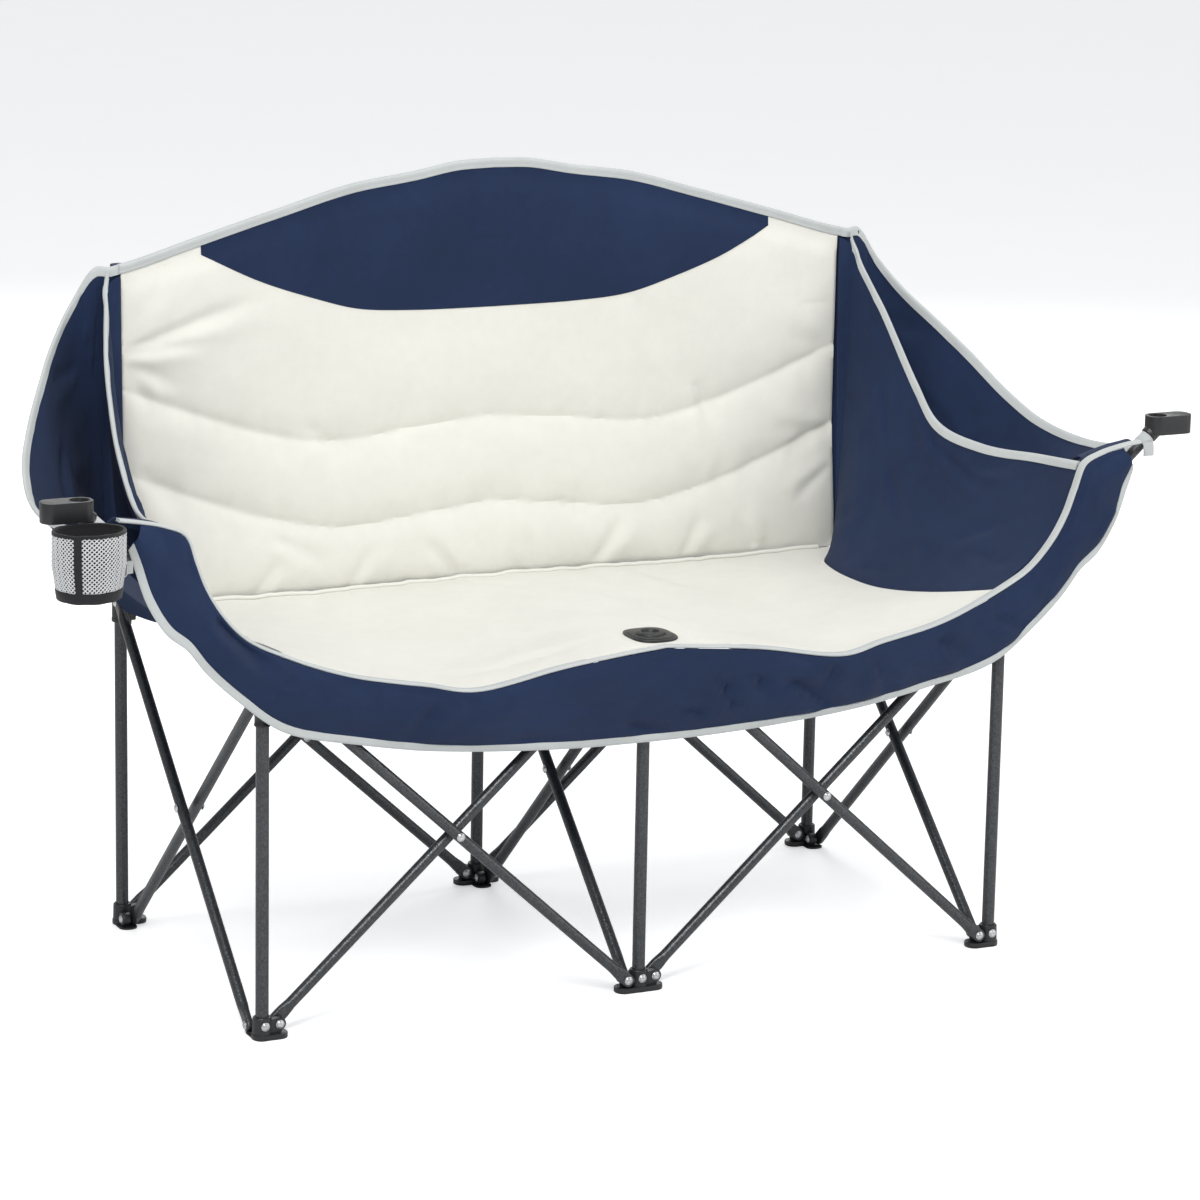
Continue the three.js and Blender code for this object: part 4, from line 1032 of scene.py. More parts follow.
class Workshop:
    """What every sub-assembly needs: the maker, the finishes and the repeaters."""

    def __init__(self, maker: Maker, wardrobe: Wardrobe) -> None:
        """Prepares the small meshes that are repeated."""
        self.maker = maker
        self.wear = wardrobe
        self.lines = Repeater("copies_along_a_line", True)
        self.dots = Repeater("copies_on_points", False)
        self.spinner = Spinner()
        self.stitch = self._stitch()
        self.rivet = self._rivet()

    def _loose(self, name: str, shape: Shape) -> bpy.types.Object:
        """A small mesh that isn't shown, in metres about its own origin."""
        mesh = bpy.data.meshes.new(name)
        mesh.from_pydata((np.array(shape.points) / PER_METRE).tolist(), [], shape.faces)
        mesh.shade_smooth()
        return bpy.data.objects.new(name, mesh)

    def _stitch(self) -> bpy.types.Object:
        """One stitch of thread, lying along its own Z."""
        profile = [(0.0, -1.5), (0.34, -1.1), (0.42, 0.0), (0.34, 1.1), (0.0, 1.5)]
        return self._loose("stitch_master", lathe(profile, 6))

    def _rivet(self) -> bpy.types.Object:
        """A domed rivet head on a thin washer, its outer side towards its own Z."""
        profile = [
            (0.0, -0.8), (5.2, -0.8), (5.4, -0.5), (5.4, -0.1), (5.1, 0.1), (4.3, 0.2), (4.2, 0.7),
            (3.6, 1.35), (2.4, 1.8), (1.2, 1.95), (1.0, 1.7), (0.0, 1.6),
        ]
        return self._loose("rivet_master", lathe(profile, 20))

    def wires(self, name: str, lines: Sequence[np.ndarray]) -> bpy.types.Mesh:
        """A mesh of edges along each of some lines, which are in millimetres."""
        points: list[np.ndarray] = []
        edges: list[tuple[int, int]] = []
        for line in lines:
            base = len(points)
            points.extend(line)
            edges.extend((base + i, base + i + 1) for i in range(len(line) - 1))
        mesh = bpy.data.meshes.new(name)
        mesh.from_pydata(self.maker.to_frame(np.array(points)).tolist(), edges, [])
        return mesh

    def stitches(self, name: str, lines: Sequence[np.ndarray], finish: bpy.types.Material) -> bpy.types.Object:
        """Sews a row of stitches along each of some lines.

        Args:
            name: Name of the new piece.
            lines: Points of each line, in millimetres.
            finish: The thread's material.

        Returns:
            The new object.
        """
        values = {"Copy": self.stitch, "Unevenness": 0.18, "Seed": 7, "Finish": finish}
        return self.lines.run(name, self.wires(name, lines), **values)

    def threads(
        self, name: str, lines: Sequence[np.ndarray], finish: bpy.types.Material, radius: float
    ) -> bpy.types.Object:
        """Spins a round thread along each of some lines.

        Args:
            name: Name of the new piece.
            lines: Points of each line, in millimetres.
            finish: The threads' material.
            radius: A thread's radius, in millimetres.

        Returns:
            The new object.
        """
        values = {"Radius": radius / PER_METRE, "Sides": 5, "Finish": finish}
        return self.spinner.run(name, self.wires(name, lines), **values)

    def rivets(self, name: str, places: Sequence[tuple[np.ndarray, np.ndarray]], body: str) -> bpy.types.Object:
        """Puts a rivet head at each place.

        Args:
            name: Name of the new piece.
            places: Pairs of a point and the way its dome looks, in millimetres.
            body: The frame's body that carries them.

        Returns:
            The new object, riding on its body.
        """
        mesh = bpy.data.meshes.new(name)
        mesh.from_pydata(self.maker.to_frame(np.array([p for p, _ in places])).tolist(), [], [])
        aim = mesh.attributes.new("aim", "FLOAT_VECTOR", "POINT")
        aim.data.foreach_set("vector", np.array([d for _, d in places], np.float32).ravel())
        values = {"Copy": self.rivet, "Unevenness": 0.0, "Seed": 1, "Finish": self.wear.zinc}
        return carried(self.dots.run(name, mesh, **values), body, "frame_tube")

    def fit(self, node: str, shape: Shape, body: str, angle: float = 40.0) -> None:
        """Makes the moulded piece that stands for a node."""
        carried(self.maker.make(node + "_skin", shape, self.wear.plastic, angle), body, "fitting_plastic", node)


# The steel frame


@dataclass(frozen=True)
class TubeForm:
    """Sizes of one crossed tube."""

    radius: float = 7.0
    flat_width: float = 8.2
    flat_thickness: float = 4.5
    flat_length: float = 12.0
    blend: float = 18.0
    tip: float = 7.6
    points: int = 28

    def section(self, along: float, flat: float, tip_share: float = 1.0) -> np.ndarray:
        """One ring of the tube.

        Args:
            along: Where it stands on the tube.
            flat: 1 where the tube is pressed and 0 where it is round.
            tip_share: How wide the ring is near a rounded tip.

        Returns:
            Points of the ring in the tube's own X, Y and Z.
        """
        turn = circle(self.points)
        power = 1 - 0.52 * flat
        wide = self.radius + (self.flat_width - self.radius) * flat
        thick = self.radius + (self.flat_thickness - self.radius) * flat
        y = wide * tip_share * squared(np.cos(turn), power)
        z = thick * squared(np.sin(turn), power)
        return np.column_stack([np.full(self.points, along), y, z])

    def pressed_end(self, pivot: float, direction: float) -> list[np.ndarray]:
        """Rings of a pressed end, from its tip inwards."""
        rings = []
        tip = [past - self.tip for past in (0, 0.7, 2.2, 4.2)]
        for distance in (*tip, -1.0, 4.0, self.flat_length):
            reach = min(1.0, (distance + self.tip + 2.2) / (self.tip + 1.5))
            share = math.sqrt(max(0.0, 1 - (1 - reach) ** 2))
            rings.append(self.section(pivot + direction * distance, 1.0, share))
        for k in range(1, 8):
            part = k / 7
            along = pivot + direction * (self.flat_length + self.blend * part)
            rings.append(self.section(along, 1 - float(smooth(part))))
        return rings


@dataclass
class CrossedTube:
    """A tube that crosses another and turns on riveted pins at its ends."""

    node: str
    pivot: np.ndarray
    direction: np.ndarray
    to_ear: np.ndarray
    span: float
    reach: float
    holds_crossing: bool
    body: str
    ear_back: float = 8.3
    form: TubeForm = field(default_factory=TubeForm)

    def dress(self, shop: Workshop) -> None:
        """Makes the tube and its rivet heads, and puts them on their body."""
        rings = self.form.pressed_end(0.0, 1.0)
        if self.reach > 0:
            rings += [self.form.section(self.span + part * self.reach, 0.0) for part in (-0.4, 0.0, 0.5, 1.0)]
        else:
            middle = [self.form.section(self.span * part, 0.0) for part in (0.25, 0.5, 0.75)]
            rings += middle + self.form.pressed_end(self.span, -1.0)[::-1]
        sections = np.array(rings)
        shape = strip(sections, sections[:, 0, 0], ring_lengths(sections[12]))
        up = np.cross(self.to_ear, self.direction)
        placed = shape.placed(self.direction, up, self.to_ear, self.pivot)
        piece = shop.maker.make(self.node + "_skin", placed, shop.wear.steel, 35)
        carried(piece, self.body, "frame_tube", self.node)
        shop.rivets(self.node + "_rivets", self.heads(), self.body)

    def heads(self) -> list[tuple[np.ndarray, np.ndarray]]:
        """Where the tube's rivet heads lie and which way they look."""
        form, gap = self.form, 2 * LAYOUT.layer
        made = [(0.0, -form.flat_thickness, -1.0), (0.0, LAYOUT.layer + self.ear_back, 1.0)]
        end = form.radius if self.reach > 0 else form.flat_thickness
        made += [(self.span, -end, -1.0), (self.span, LAYOUT.layer + self.ear_back, 1.0)]
        if self.holds_crossing:
            made += [(self.span / 2, -form.radius, -1.0), (self.span / 2, gap + form.radius + 0.3, 1.0)]
        places = []
        for along, aside, facing in made:
            centre = self.pivot + self.direction * along + self.to_ear * (aside + 0.8 * facing)
            places.append((centre, self.to_ear * facing))
        return places


@dataclass
class SteelFrame:
    """The crossed tubes and the round uprights."""

    upright_radius: float = 8.0
    upright_foot: float = 3.5
    collar_bottom: float = 387.0
    collar_top: float = 406.0
    collar_radius: float = 10.0
    front_top: float = 400.0

    def tubes(self) -> Iterable[CrossedTube]:
        """The crossed tubes, one after another."""
        slope = LAYOUT.slope
        for row, y, reach in (("front", 0.0, LAYOUT.arm_reach), ("rear", LAYOUT.depth, 0.0)):
            for name, x, rising, further in (
                ("left_to_middle", -LAYOUT.bay, 1, 0.0), ("middle_to_left", 0.0, -1, reach),
                ("middle_to_right", 0.0, 1, reach), ("right_to_middle", LAYOUT.bay, -1, 0.0),
            ):
                node = f"{row}_tube_{name}"
                pivot = np.array([x + rising * LAYOUT.inset, y + rising * LAYOUT.layer, LAYOUT.foot_pivot])
                body = f"front_arm_{name.rpartition('_')[2]}" if further else node
                way = slope * np.array([rising, 1.0, 1.0])
                yield CrossedTube(node, pivot, way, -rising * Y_AXIS, LAYOUT.span, further, rising < 0, body)
        side_way = slope[[1, 0, 2]]
        for side, x in COLUMNS:
            for end, rising in (("rear", 1), ("front", -1)):
                node = f"side_tube_{side}_to_{end}"
                low = LAYOUT.inset if rising > 0 else LAYOUT.depth - LAYOUT.inset
                pivot = np.array([x - rising * LAYOUT.layer, low, LAYOUT.foot_pivot - LAYOUT.side_drop])
                way = side_way * np.array([1.0, rising, 1.0])
                yield CrossedTube(node, pivot, way, rising * X_AXIS, LAYOUT.span, 0.0, rising > 0, node)

    def upright(self, shop: Workshop, node: str, body: str, x: float, y: float, top: float) -> None:
        """Makes one round upright with a soft rolled end."""
        r, low = self.upright_radius, self.upright_foot
        profile = [(0.0, low), (r - 0.6, low), (r, low + 0.6)]
        profile += [(r, low + (top - low) * part) for part in (0.25, 0.5, 0.75)]
        profile += [(r, top - 1.0), (r - 0.7, top - 0.2), (6.8, top), (6.6, top - 2), (0.0, top - 2)]
        piece = shop.maker.make(node + "_skin", lathe(profile).at(x, y), shop.wear.steel)
        carried(piece, body, "frame_tube", node)

    def collar(self, shop: Workshop, side: str, x: float) -> None:
        """Makes the plastic collar on a front upright."""
        r, low, high = self.collar_radius, self.collar_bottom, self.collar_top
        profile = [
            (8.3, low), (r - 0.6, low), (r, low + 0.6), (r, low + 3), (r - 0.5, low + 3.6), (r - 0.5, high - 7),
            (r, high - 6), (r, high - 1.2), (r - 1, high - 0.2),
            (6.5, high), (6.5, high - 4), (8.3, high - 6), (8.3, low),
        ]
        shop.fit(f"front_collar_{side}", lathe(profile).at(x, 0.0), f"front_post_{side}")

    def dress(self, shop: Workshop) -> None:
        """Makes every tube, upright and collar."""
        for tube in self.tubes():
            tube.dress(shop)
            LOG.info("tube %s", tube.node)
        for side, x in COLUMNS:
            self.upright(shop, f"front_upright_{side}", f"front_post_{side}", x, 0.0, self.front_top)
            top = LAYOUT.rear_top(side)
            self.upright(shop, f"rear_upright_{side}", f"rear_post_{side}", x, LAYOUT.depth, top)
            self.collar(shop, side, x)
            LOG.info("uprights %s", side)


# Moulded fittings

# Edges of a foot, hub or slider flatter than this many degrees are smooth
FITTING_ANGLE = 32.0


@dataclass(frozen=True)
class Ear:
    """One lug of a fitting, beside the tube that turns on it."""

    out: tuple[float, float]
    side: int

    @property
    def way(self) -> np.ndarray:
        """The way out from the upright's axis."""
        return np.array([self.out[0], self.out[1], 0.0])

    @property
    def across(self) -> np.ndarray:
        """The way from the lug to its tube."""
        return (Y_AXIS if self.out[0] else X_AXIS) * self.side

    @property
    def drop(self) -> float:
        """How much lower a side lug's pivot is."""
        return 0.0 if self.out[0] else LAYOUT.side_drop


@dataclass
class Fittings:
    """The feet, the front hubs, the sliders, the arm ends and the seat cap."""

    ear_radius: float = 8.2
    near: float = 2.0
    far: float = 8.0
    foot_height: float = 28.0
    foot_radius: float = 12.0
    base: float = 7.0
    reach: float = 32.0
    half_depth: float = 12.8
    hub_radius: float = 11.5
    hub_bottom: float = 406.6
    cap_gap: float = 0.3
    slider_bottom: float = 402.0
    slider_top: float = 450.0

    def ears(self, side: str, high: bool, front: bool) -> list[Ear]:
        """The lugs of one fitting.

        Args:
            side: left, middle or right.
            high: True for a hub or slider, False for a foot.
            front: True in the front row.

        Returns:
            Its lugs.
        """
        ways = {"left": (1,), "middle": (-1, 1), "right": (-1,)}[side]
        made = [Ear((out, 0), -out if high else out) for out in ways]
        out = 1 if front else -1
        made.append(Ear((0, out), out if high else -out))
        return made

    def ear_shape(self, ear: Ear, pivot: float, bottom: float, top: float) -> Shape:
        """A lug from the axis out to its pivot, with a raised ring round the pin."""
        r, out = self.ear_radius, LAYOUT.inset
        low = min(bottom, pivot - r)
        outline = [(0.0, bottom), (out, low)]
        outline += [(out + r * math.cos(t), pivot + r * math.sin(t)) for t in np.linspace(-1.2, 1.57, 10)]
        outline += [(0.0, top)]
        shape = prism(np.array(outline), -self.far, self.near, 0.9)
        return shape.placed(ear.way, Z_AXIS, ear.across, np.zeros(3))

    def foot(self, shop: Workshop, row: str, side: str, x: float, y: float) -> None:
        """Makes one foot."""
        ears = self.ears(side, False, row == "front")
        shape = Shape()
        reach = {e.out: self.reach for e in ears}
        half = self.half_depth
        plate = rounded_outline(-reach.get((-1, 0), half), reach.get((1, 0), half), -half, half, 12.0)
        shape.add(prism(plate, 0.0, self.base, 1.1))
        tongue = rounded_outline(-half + 1, half - 1, -reach.get((0, -1), half), reach.get((0, 1), half), 10.0)
        shape.add(prism(tongue, 0.05, 2.4, 0.5))
        r, h = self.foot_radius, self.foot_height
        shape.add(lathe([
            (0, 1), (r, 1), (r, self.base + 1), (r - 0.4, h - 6), (r - 0.6, h - 1.4), (r - 1.6, h - 0.2),
            (9.0, h), (8.3, h - 0.8), (8.3, h - 6), (0, h - 6),
        ], 36))
        for ear in ears:
            pivot = LAYOUT.foot_pivot - ear.drop
            shape.add(self.ear_shape(ear, pivot, 0.1, pivot + self.ear_radius / 2))
        body = f"{row}_post_{side}"
        shop.fit(f"{row}_foot_{side}", shape.at(x, y), body, FITTING_ANGLE)
        facing = -1.0 if row == "front" else 1.0
        head = np.array([x, y + facing * (r + 0.6), LAYOUT.foot_pivot])
        shop.rivets(f"{row}_foot_{side}_rivet", [(head, facing * Y_AXIS)], body)

    def hub(self, shop: Workshop, side: str, x: float) -> None:
        """Makes one front hub with the rod that slides into the upright."""
        top = LAYOUT.hub_top if side == "middle" else LAYOUT.outer_hub_top
        r, low = self.hub_radius, self.hub_bottom
        shape = lathe([
            (0, 177.0), (5.6, 177.0), (6, 177.6), (6, low), (r - 1.4, low), (r, low + 1.4), (r, low + 6),
            (r - 0.5, low + 6.6), (r - 0.5, top - 5), (r, top - 4.4), (r, top - 1.2), (r - 1.2, top), (0, top),
        ], 36)
        for ear in self.ears(side, True, True):
            pivot = LAYOUT.hub_pivot - ear.drop
            shape.add(self.ear_shape(ear, pivot, low + 0.2, min(pivot, top - 0.8)))
        node = f"front_hub_{side}"
        shop.fit(node, shape.at(x, 0.0), "seat" if side == "middle" else node, FITTING_ANGLE)

    def slider(self, shop: Workshop, side: str, x: float) -> None:
        """Makes one slider on a rear upright."""
        r, low, top = self.hub_radius, self.slider_bottom, self.slider_top
        shape = lathe([
            (8.4, low), (r - 0.8, low), (r, low + 0.8), (r, low + 5), (r - 0.5, low + 5.6), (r - 0.5, top - 5.6),
            (r, top - 5), (r, top - 0.8), (r - 0.8, top), (8.4, top), (8.4, low),
        ], 36)
        for ear in self.ears(side, True, False):
            pivot = LAYOUT.hub_pivot - ear.drop
            shape.add(self.ear_shape(ear, pivot, low + 0.2, pivot))
        node = f"rear_slider_{side}"
        shop.fit(node, shape.at(x, LAYOUT.depth), node, FITTING_ANGLE)

    def softened(self, shop: Workshop, frame: dict, node: str, body: str, width: float) -> None:
        """Copies a node's form with its doubles merged and its edges rounded."""
        mesh = frame["nodes"][node].data.copy()
        piece = add_object(node + "_skin", mesh)
        mesh.materials.clear()
        mesh.materials.append(shop.wear.plastic)
        weld = piece.modifiers.new("weld", "WELD")
        weld.merge_threshold = 0.00002
        flat = piece.modifiers.new("flat", "DECIMATE")
        flat.decimate_type, flat.angle_limit = "DISSOLVE", math.radians(3)
        edge = piece.modifiers.new("edge", "BEVEL")
        edge.width, edge.segments, edge.angle_limit = width / PER_METRE, 3, math.radians(30)
        bake(piece).set_sharp_from_angle(angle=math.radians(38))
        carried(piece, body, "fitting_plastic", node)

    def seat_cap(self, shop: Workshop) -> None:
        """Makes the moulded cap on the middle hub: a soft square plate, a knob and its recess."""
        turn = circle(72)
        wide, deep = (half * squared(wave(turn), 0.66) for half, wave in ((29.5, np.cos), (34.5, np.sin)))
        outline = np.column_stack([wide, deep])
        shape = prism(outline, 0.0, 3.2, 1.3)
        shape.add(prism(outline * 0.86, 3.0, 3.9, 0.4))
        shape.add(lathe([
            (0, 1), (19.5, 1), (19.5, 4.2), (18.8, 5.2), (17.2, 5.9), (15.6, 6.6), (13.2, 7.0), (11.6, 6.7),
            (10.6, 5.8), (10.0, 4.6), (8.6, 4.0), (5.4, 4.2), (4.2, 4.9), (0, 5.1),
        ], 48))
        level = LAYOUT.up(SEAT_FRONT[0]) + Seat.lift + self.cap_gap
        shop.fit("seat_cap", shape.at(0.0, -13.0, level), "seat", 30)

    def dress(self, shop: Workshop, frame: dict) -> None:
        """Makes every fitting."""
        for side, x in COLUMNS:
            self.foot(shop, "front", side, x, 0.0)
            self.foot(shop, "rear", side, x, LAYOUT.depth)
            self.hub(shop, side, x)
            self.slider(shop, side, x)
            LOG.info("fittings %s", side)
        self.softened(shop, frame, "arm_end_left", "front_arm_left", 1.4)
        self.softened(shop, frame, "arm_end_right", "front_arm_right", 1.4)
        self.seat_cap(shop)
        LOG.info("arm ends and seat cap")


# Fabric


@dataclass(frozen=True)
class Crease:
    """One fold in cloth: a groove with a soft ridge beside it, strongest where it starts."""

    start: tuple[float, float]
    end: tuple[float, float]
    depth: float = 3.0
    width: float = 13.0

    def press(self, a: np.ndarray, b: np.ndarray) -> np.ndarray:
        """How far the cloth is pressed in at places given by two numbers."""
        line = np.subtract(self.end, self.start)
        length = float(np.hypot(*line))
        along = ((a - self.start[0]) * line[0] + (b - self.start[1]) * line[1]) / length**2
        aside = ((a - self.start[0]) * line[1] - (b - self.start[1]) * line[0]) / length
        fade = smooth(along * 5 + 1) * smooth((1.15 - along) * 1.6)
        spread = self.width * (0.75 + 0.6 * np.clip(along, 0, 1))
        groove = np.exp(-((aside / spread) ** 2))
        ridge = np.exp(-(((aside - 1.9 * spread) / (1.4 * spread)) ** 2))
        return self.depth * fade * (groove - 0.6 * ridge)


def folds(*rows: tuple[float, ...]) -> tuple[Crease, ...]:
    """Creases, each from where it starts and ends, its depth and its width."""
    return tuple(Crease(row[:2], row[2:4], *row[4:]) for row in rows)


def pressed(creases: Iterable[Crease], a: np.ndarray, b: np.ndarray) -> np.ndarray:
    """All creases together."""
    total = np.zeros(np.broadcast(a, b).shape)
    for crease in creases:
        total = total + crease.press(a, b)
    return total


def through(shares: Table, count: int = 8) -> np.ndarray:
    """A smooth line through places given as shares."""
    return refined(np.array([LAYOUT.spot(s) for s in shares]), count)


def inward(edge: np.ndarray, facing: np.ndarray, distance: float) -> np.ndarray:
    """Points moved in from an edge towards a line that faces it."""
    return edge + unit(facing - edge) * distance


def hung(lower: np.ndarray, upper: np.ndarray, columns: int, bulge: np.ndarray, outward: np.ndarray) -> np.ndarray:
    """A grid of points between two lines, its middle pushed out.

    Args:
        lower: Points of the first line.
        upper: Points of the second line, as many.
        columns: Steps from one to the other.
        bulge: How far the middle of each row is pushed.
        outward: The way that each row is pushed.

    Returns:
        The grid: rows along the lines, columns from lower to upper.
    """
    v = np.linspace(0, 1, columns + 1)
    grid = lower[:, None, :] * (1 - v)[None, :, None] + upper[:, None, :] * v[None, :, None]
    push = bulge[:, None] * np.sin(math.pi * v)[None, :]
    return grid + outward[:, None, :] * push[:, :, None]


def facing_normals(grid: np.ndarray, outward: np.ndarray) -> np.ndarray:
    """Normals of a grid on the side of an outward direction for each row."""
    normals = grid_normals(grid)
    side = np.sign((normals * outward[:, None, :]).sum(2, keepdims=True))
    return normals * np.where(side == 0, 1, side)


def away_from_seat(lower: np.ndarray, upper: np.ndarray) -> np.ndarray:
    """Outward directions of a side panel with positive X, square to its rows."""
    line = unit(upper - lower)
    return unit(X_AXIS - line * line[:, :1])


def back_face(z: np.ndarray | float) -> np.ndarray | float:
    """Y of the backrest's front plane at a height."""
    return 454.0 + 16.0 * smooth((z - 430.0) / 200.0)


@dataclass(frozen=True)
class ClothFacts:
    """What a sheet of cloth was cut to."""

    width: float
    length: float
    area: float

    @staticmethod
    def of(grid: np.ndarray) -> "ClothFacts":
        """Measures a grid of points in millimetres."""
        across = arc_lengths(grid, 1)[:, -1].max() / PER_METRE
        along = arc_lengths(grid, 0)[-1].max() / PER_METRE
        a, b = grid[1:, 1:] - grid[:-1, :-1], grid[1:, :-1] - grid[:-1, 1:]
        area = float(np.linalg.norm(np.cross(a, b), axis=2).sum() / 2) / 1e6
        return ClothFacts(float(across), float(along), min(area, float(across * along)))

    def declare(
        self,
        piece: bpy.types.Object,
        held: str,
        rests_on: Sequence[str],
        with_pieces: Sequence[bpy.types.Object] = (),
    ) -> None:
        """Logs the size and area of a piece's cut."""
        LOG.info("sheet %s: flat %.3f x %.3f m, %.3f m2", piece.name, self.width, self.length, self.area)


@dataclass(frozen=True)
class Ride:
    """How a soft piece follows the folding frame."""

    body: str
    axis: tuple[float, float, float]
    at: tuple[float, float, float] = (0.0, 0.0, 0.0)
    keep: float = 0.3

    def carry(self, shop: Workshop, piece: bpy.types.Object) -> None:
        """Puts a piece on its body and gives it a mesh of its own."""
        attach(piece, self.body)
        anchor = tuple(float(c) for c in shop.maker.to_frame(np.array(self.at)))
        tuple(self.axis)
        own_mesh(piece)


def side_rides(body: str, keep: float) -> dict[Side, Ride]:
    """A ride for each side, on that side's body, its anchor at that side's upright."""
    return {s: Ride(f"{body}_{s.word}", (1, 0, 0), (s.value * LAYOUT.bay, 0, 0), keep) for s in Side}


FRONT_RIDE = Ride("seat", (1, 0, 0))
BACK_RIDE = Ride("rear_slider_middle", (1, 0, 0))
SIDE_RIDES = side_rides("front_hub", 0.16)
REAR_SIDE_RIDES = side_rides("rear_slider", 0.2)

# How far a row of stitches stands out of the cloth it holds
THREAD_PROUD = 0.15


@dataclass
class FabricPiece:
    """One sewn piece on its way into the scene."""

    name: str
    nodes: Sequence[str]
    slot: str
    ride: Ride

    def finish(self, shop: Workshop, piece: bpy.types.Object) -> bpy.types.Object:
        """Lets a made object stand for its nodes and follow its body."""
        if self.nodes:
            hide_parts(*self.nodes)
        self.ride.carry(shop, piece)
        LOG.info("fabric %s: %d faces", self.name, len(piece.data.polygons))
        return piece

    def make(
        self, shop: Workshop, shape: Shape, finish: bpy.types.Material, angle: float = 50
    ) -> bpy.types.Object:
        """Makes the object from a shape and finishes it."""
        return self.finish(shop, shop.maker.make(self.name, shape, finish, angle))


def sew(
    shop: Workshop, name: str, lines: Sequence[np.ndarray], finish: bpy.types.Material, slot: str, ride: Ride
) -> None:
    """Makes rows of stitches that follow the cloth they hold."""
    FabricPiece(name, (), slot, ride).finish(shop, shop.stitches(name, lines, finish))


@dataclass
class Binding:
    """Edge tape folded over the rim of one or more panels.

    Where it has the faces of its panel, it lies on both of them. Its first rows may run on past the panel.
    """

    name: str
    nodes: Sequence[str]
    edge: np.ndarray
    inner: np.ndarray
    ride: Ride
    seed: int
    width: float = TAPE_WIDTH
    half_thickness: float = 2.2
    wave: float = 0.9
    faces: tuple[np.ndarray, np.ndarray] | None = None
    parted: int = 0
    rear_ride: Ride | None = None

    def cores(self, places: np.ndarray) -> tuple[np.ndarray, np.ndarray]:
        """Middle points and half thickness of what the tape wraps, at distances in from its edge."""
        inn = unit(self.inner - self.edge)
        middle = self.edge[:, None, :] + inn[:, None, :] * places[None, :, None]
        core = np.zeros(middle.shape[:2])
        if self.faces is None:
            return middle, core
        front, back = (face[:, :-14:-1] for face in self.faces)
        half = np.linalg.norm(front - back, axis=2) / 2
        lead = len(self.edge) - len(front)
        for i, row in enumerate((front + back) / 2):
            line = np.vstack([self.edge[lead + i], row])
            travel = path_lengths(line)
            middle[lead + i] = np.column_stack([np.interp(places, travel, line[:, k]) for k in range(3)])
            core[lead + i] = np.interp(places, travel, np.concatenate([[0.0], half[i]]))
        core[:lead] = core[lead]
        return middle, core

    def sections(self) -> tuple[np.ndarray, np.ndarray]:
        """The tape's sections and its normals."""
        noise = Noise(self.seed)
        travel = path_lengths(self.edge)
        t, w = self.half_thickness, self.width
        outline = np.array([
            (w, 0.62 * t), (w * 0.92, 0.74 * t), (w * 0.8, 0.66 * t), (w * 0.55, 0.86 * t), (w * 0.28, t),
            (w * 0.1, 0.92 * t), (0.0, 0.55 * t), (-0.5, 0.0), (0.0, -0.55 * t), (w * 0.1, -0.92 * t),
            (w * 0.28, -t), (w * 0.55, -0.86 * t), (w * 0.8, -0.66 * t), (w * 0.92, -0.74 * t), (w, -0.62 * t),
        ])
        middle, core = self.cores(np.maximum(outline[:, 0], 0.0))
        along = unit(np.gradient(self.edge, axis=0))
        inn = unit(middle[:, 0] - self.edge)
        normal = unit(np.cross(along, inn))
        held = np.vstack([normal[:2], normal, normal[-2:]])
        normal = unit(sum(held[k : k + len(normal)] for k in range(5)))
        inn = unit(np.cross(normal, along))
        shift = noise.layered(travel / 60.0, travel * 0 + 0.3, 2) * self.wave
        lift = noise.layered(travel / 45.0, travel * 0 + 9.1, 2) * self.wave * 0.6
        swell = 1 + 0.08 * noise.layered(travel / 14.0, travel * 0 + 4.7, 2)
        out = shift[:, None] + np.sign(outline[:, 1]) * core + outline[:, 1] * swell[:, None]
        inside = lift[:, None] + np.minimum(outline[:, 0], 0.0)
        return middle + inn[:, None, :] * inside[:, :, None] + normal[:, None, :] * out[:, :, None], normal

    def dress(self, shop: Workshop) -> None:
        """Makes the tape and the rows of stitches along both its sides, parted where the chair folds."""
        whole, normals = self.sections()
        if self.rear_ride is None:
            parts = [(self.name, slice(None), self.ride)]
        else:
            ahead, behind = slice(self.parted, None), slice(0, self.parted + 1)
            parts = [(self.name, ahead, self.ride), (self.name + "_rear", behind, self.rear_ride)]
        for name, rows, ride in parts:
            sections, normal = whole[rows], normals[rows]
            shape = strip(sections, path_lengths(self.edge)[rows], ring_lengths(sections[0]))
            FabricPiece(name, self.nodes, "grey_tape", ride).make(shop, shape, shop.wear.tape, 60)
            lines = [sections[:, 2] + normal * THREAD_PROUD, sections[:, 12] - normal * THREAD_PROUD]
            sew(shop, name + "_thread", lines, shop.wear.grey_thread, "grey_tape", ride)


WING_TOP = (
    (1.17, 0.956, 0.782), (1.31, 0.956, 0.702), (1.44, 0.912, 0.627), (1.58, 0.826, 0.552), (1.71, 0.736, 0.476),
    (1.82, 0.642, 0.401), (1.895, 0.51, 0.345), (1.94, 0.32, 0.327), (1.92, 0.06, 0.352),
)
WING_BASE = (
    (1.11, 0.948, 0.01), (1.1, 0.924, -0.002), (1.05, 0.892, -0.032), (0.984, 0.84, -0.047), (0.94, 0.76, -0.051),
    (0.916, 0.66, -0.051), (0.9, 0.52, -0.051), (0.892, 0.32, -0.045), (0.944, 0.06, 0.006),
)
INSERT_TOP = (
    (1.034, 0.942, 0.758), (1.123, 0.936, 0.748), (1.143, 0.91, 0.702), (1.175, 0.872, 0.65),
    (1.213, 0.822, 0.588),
    (1.243, 0.764, 0.514), (1.272, 0.68, 0.42), (1.294, 0.58, 0.341), (1.374, 0.4, 0.313), (1.451, 0.18, 0.326),
    (1.455, -0.016, 0.343),
)
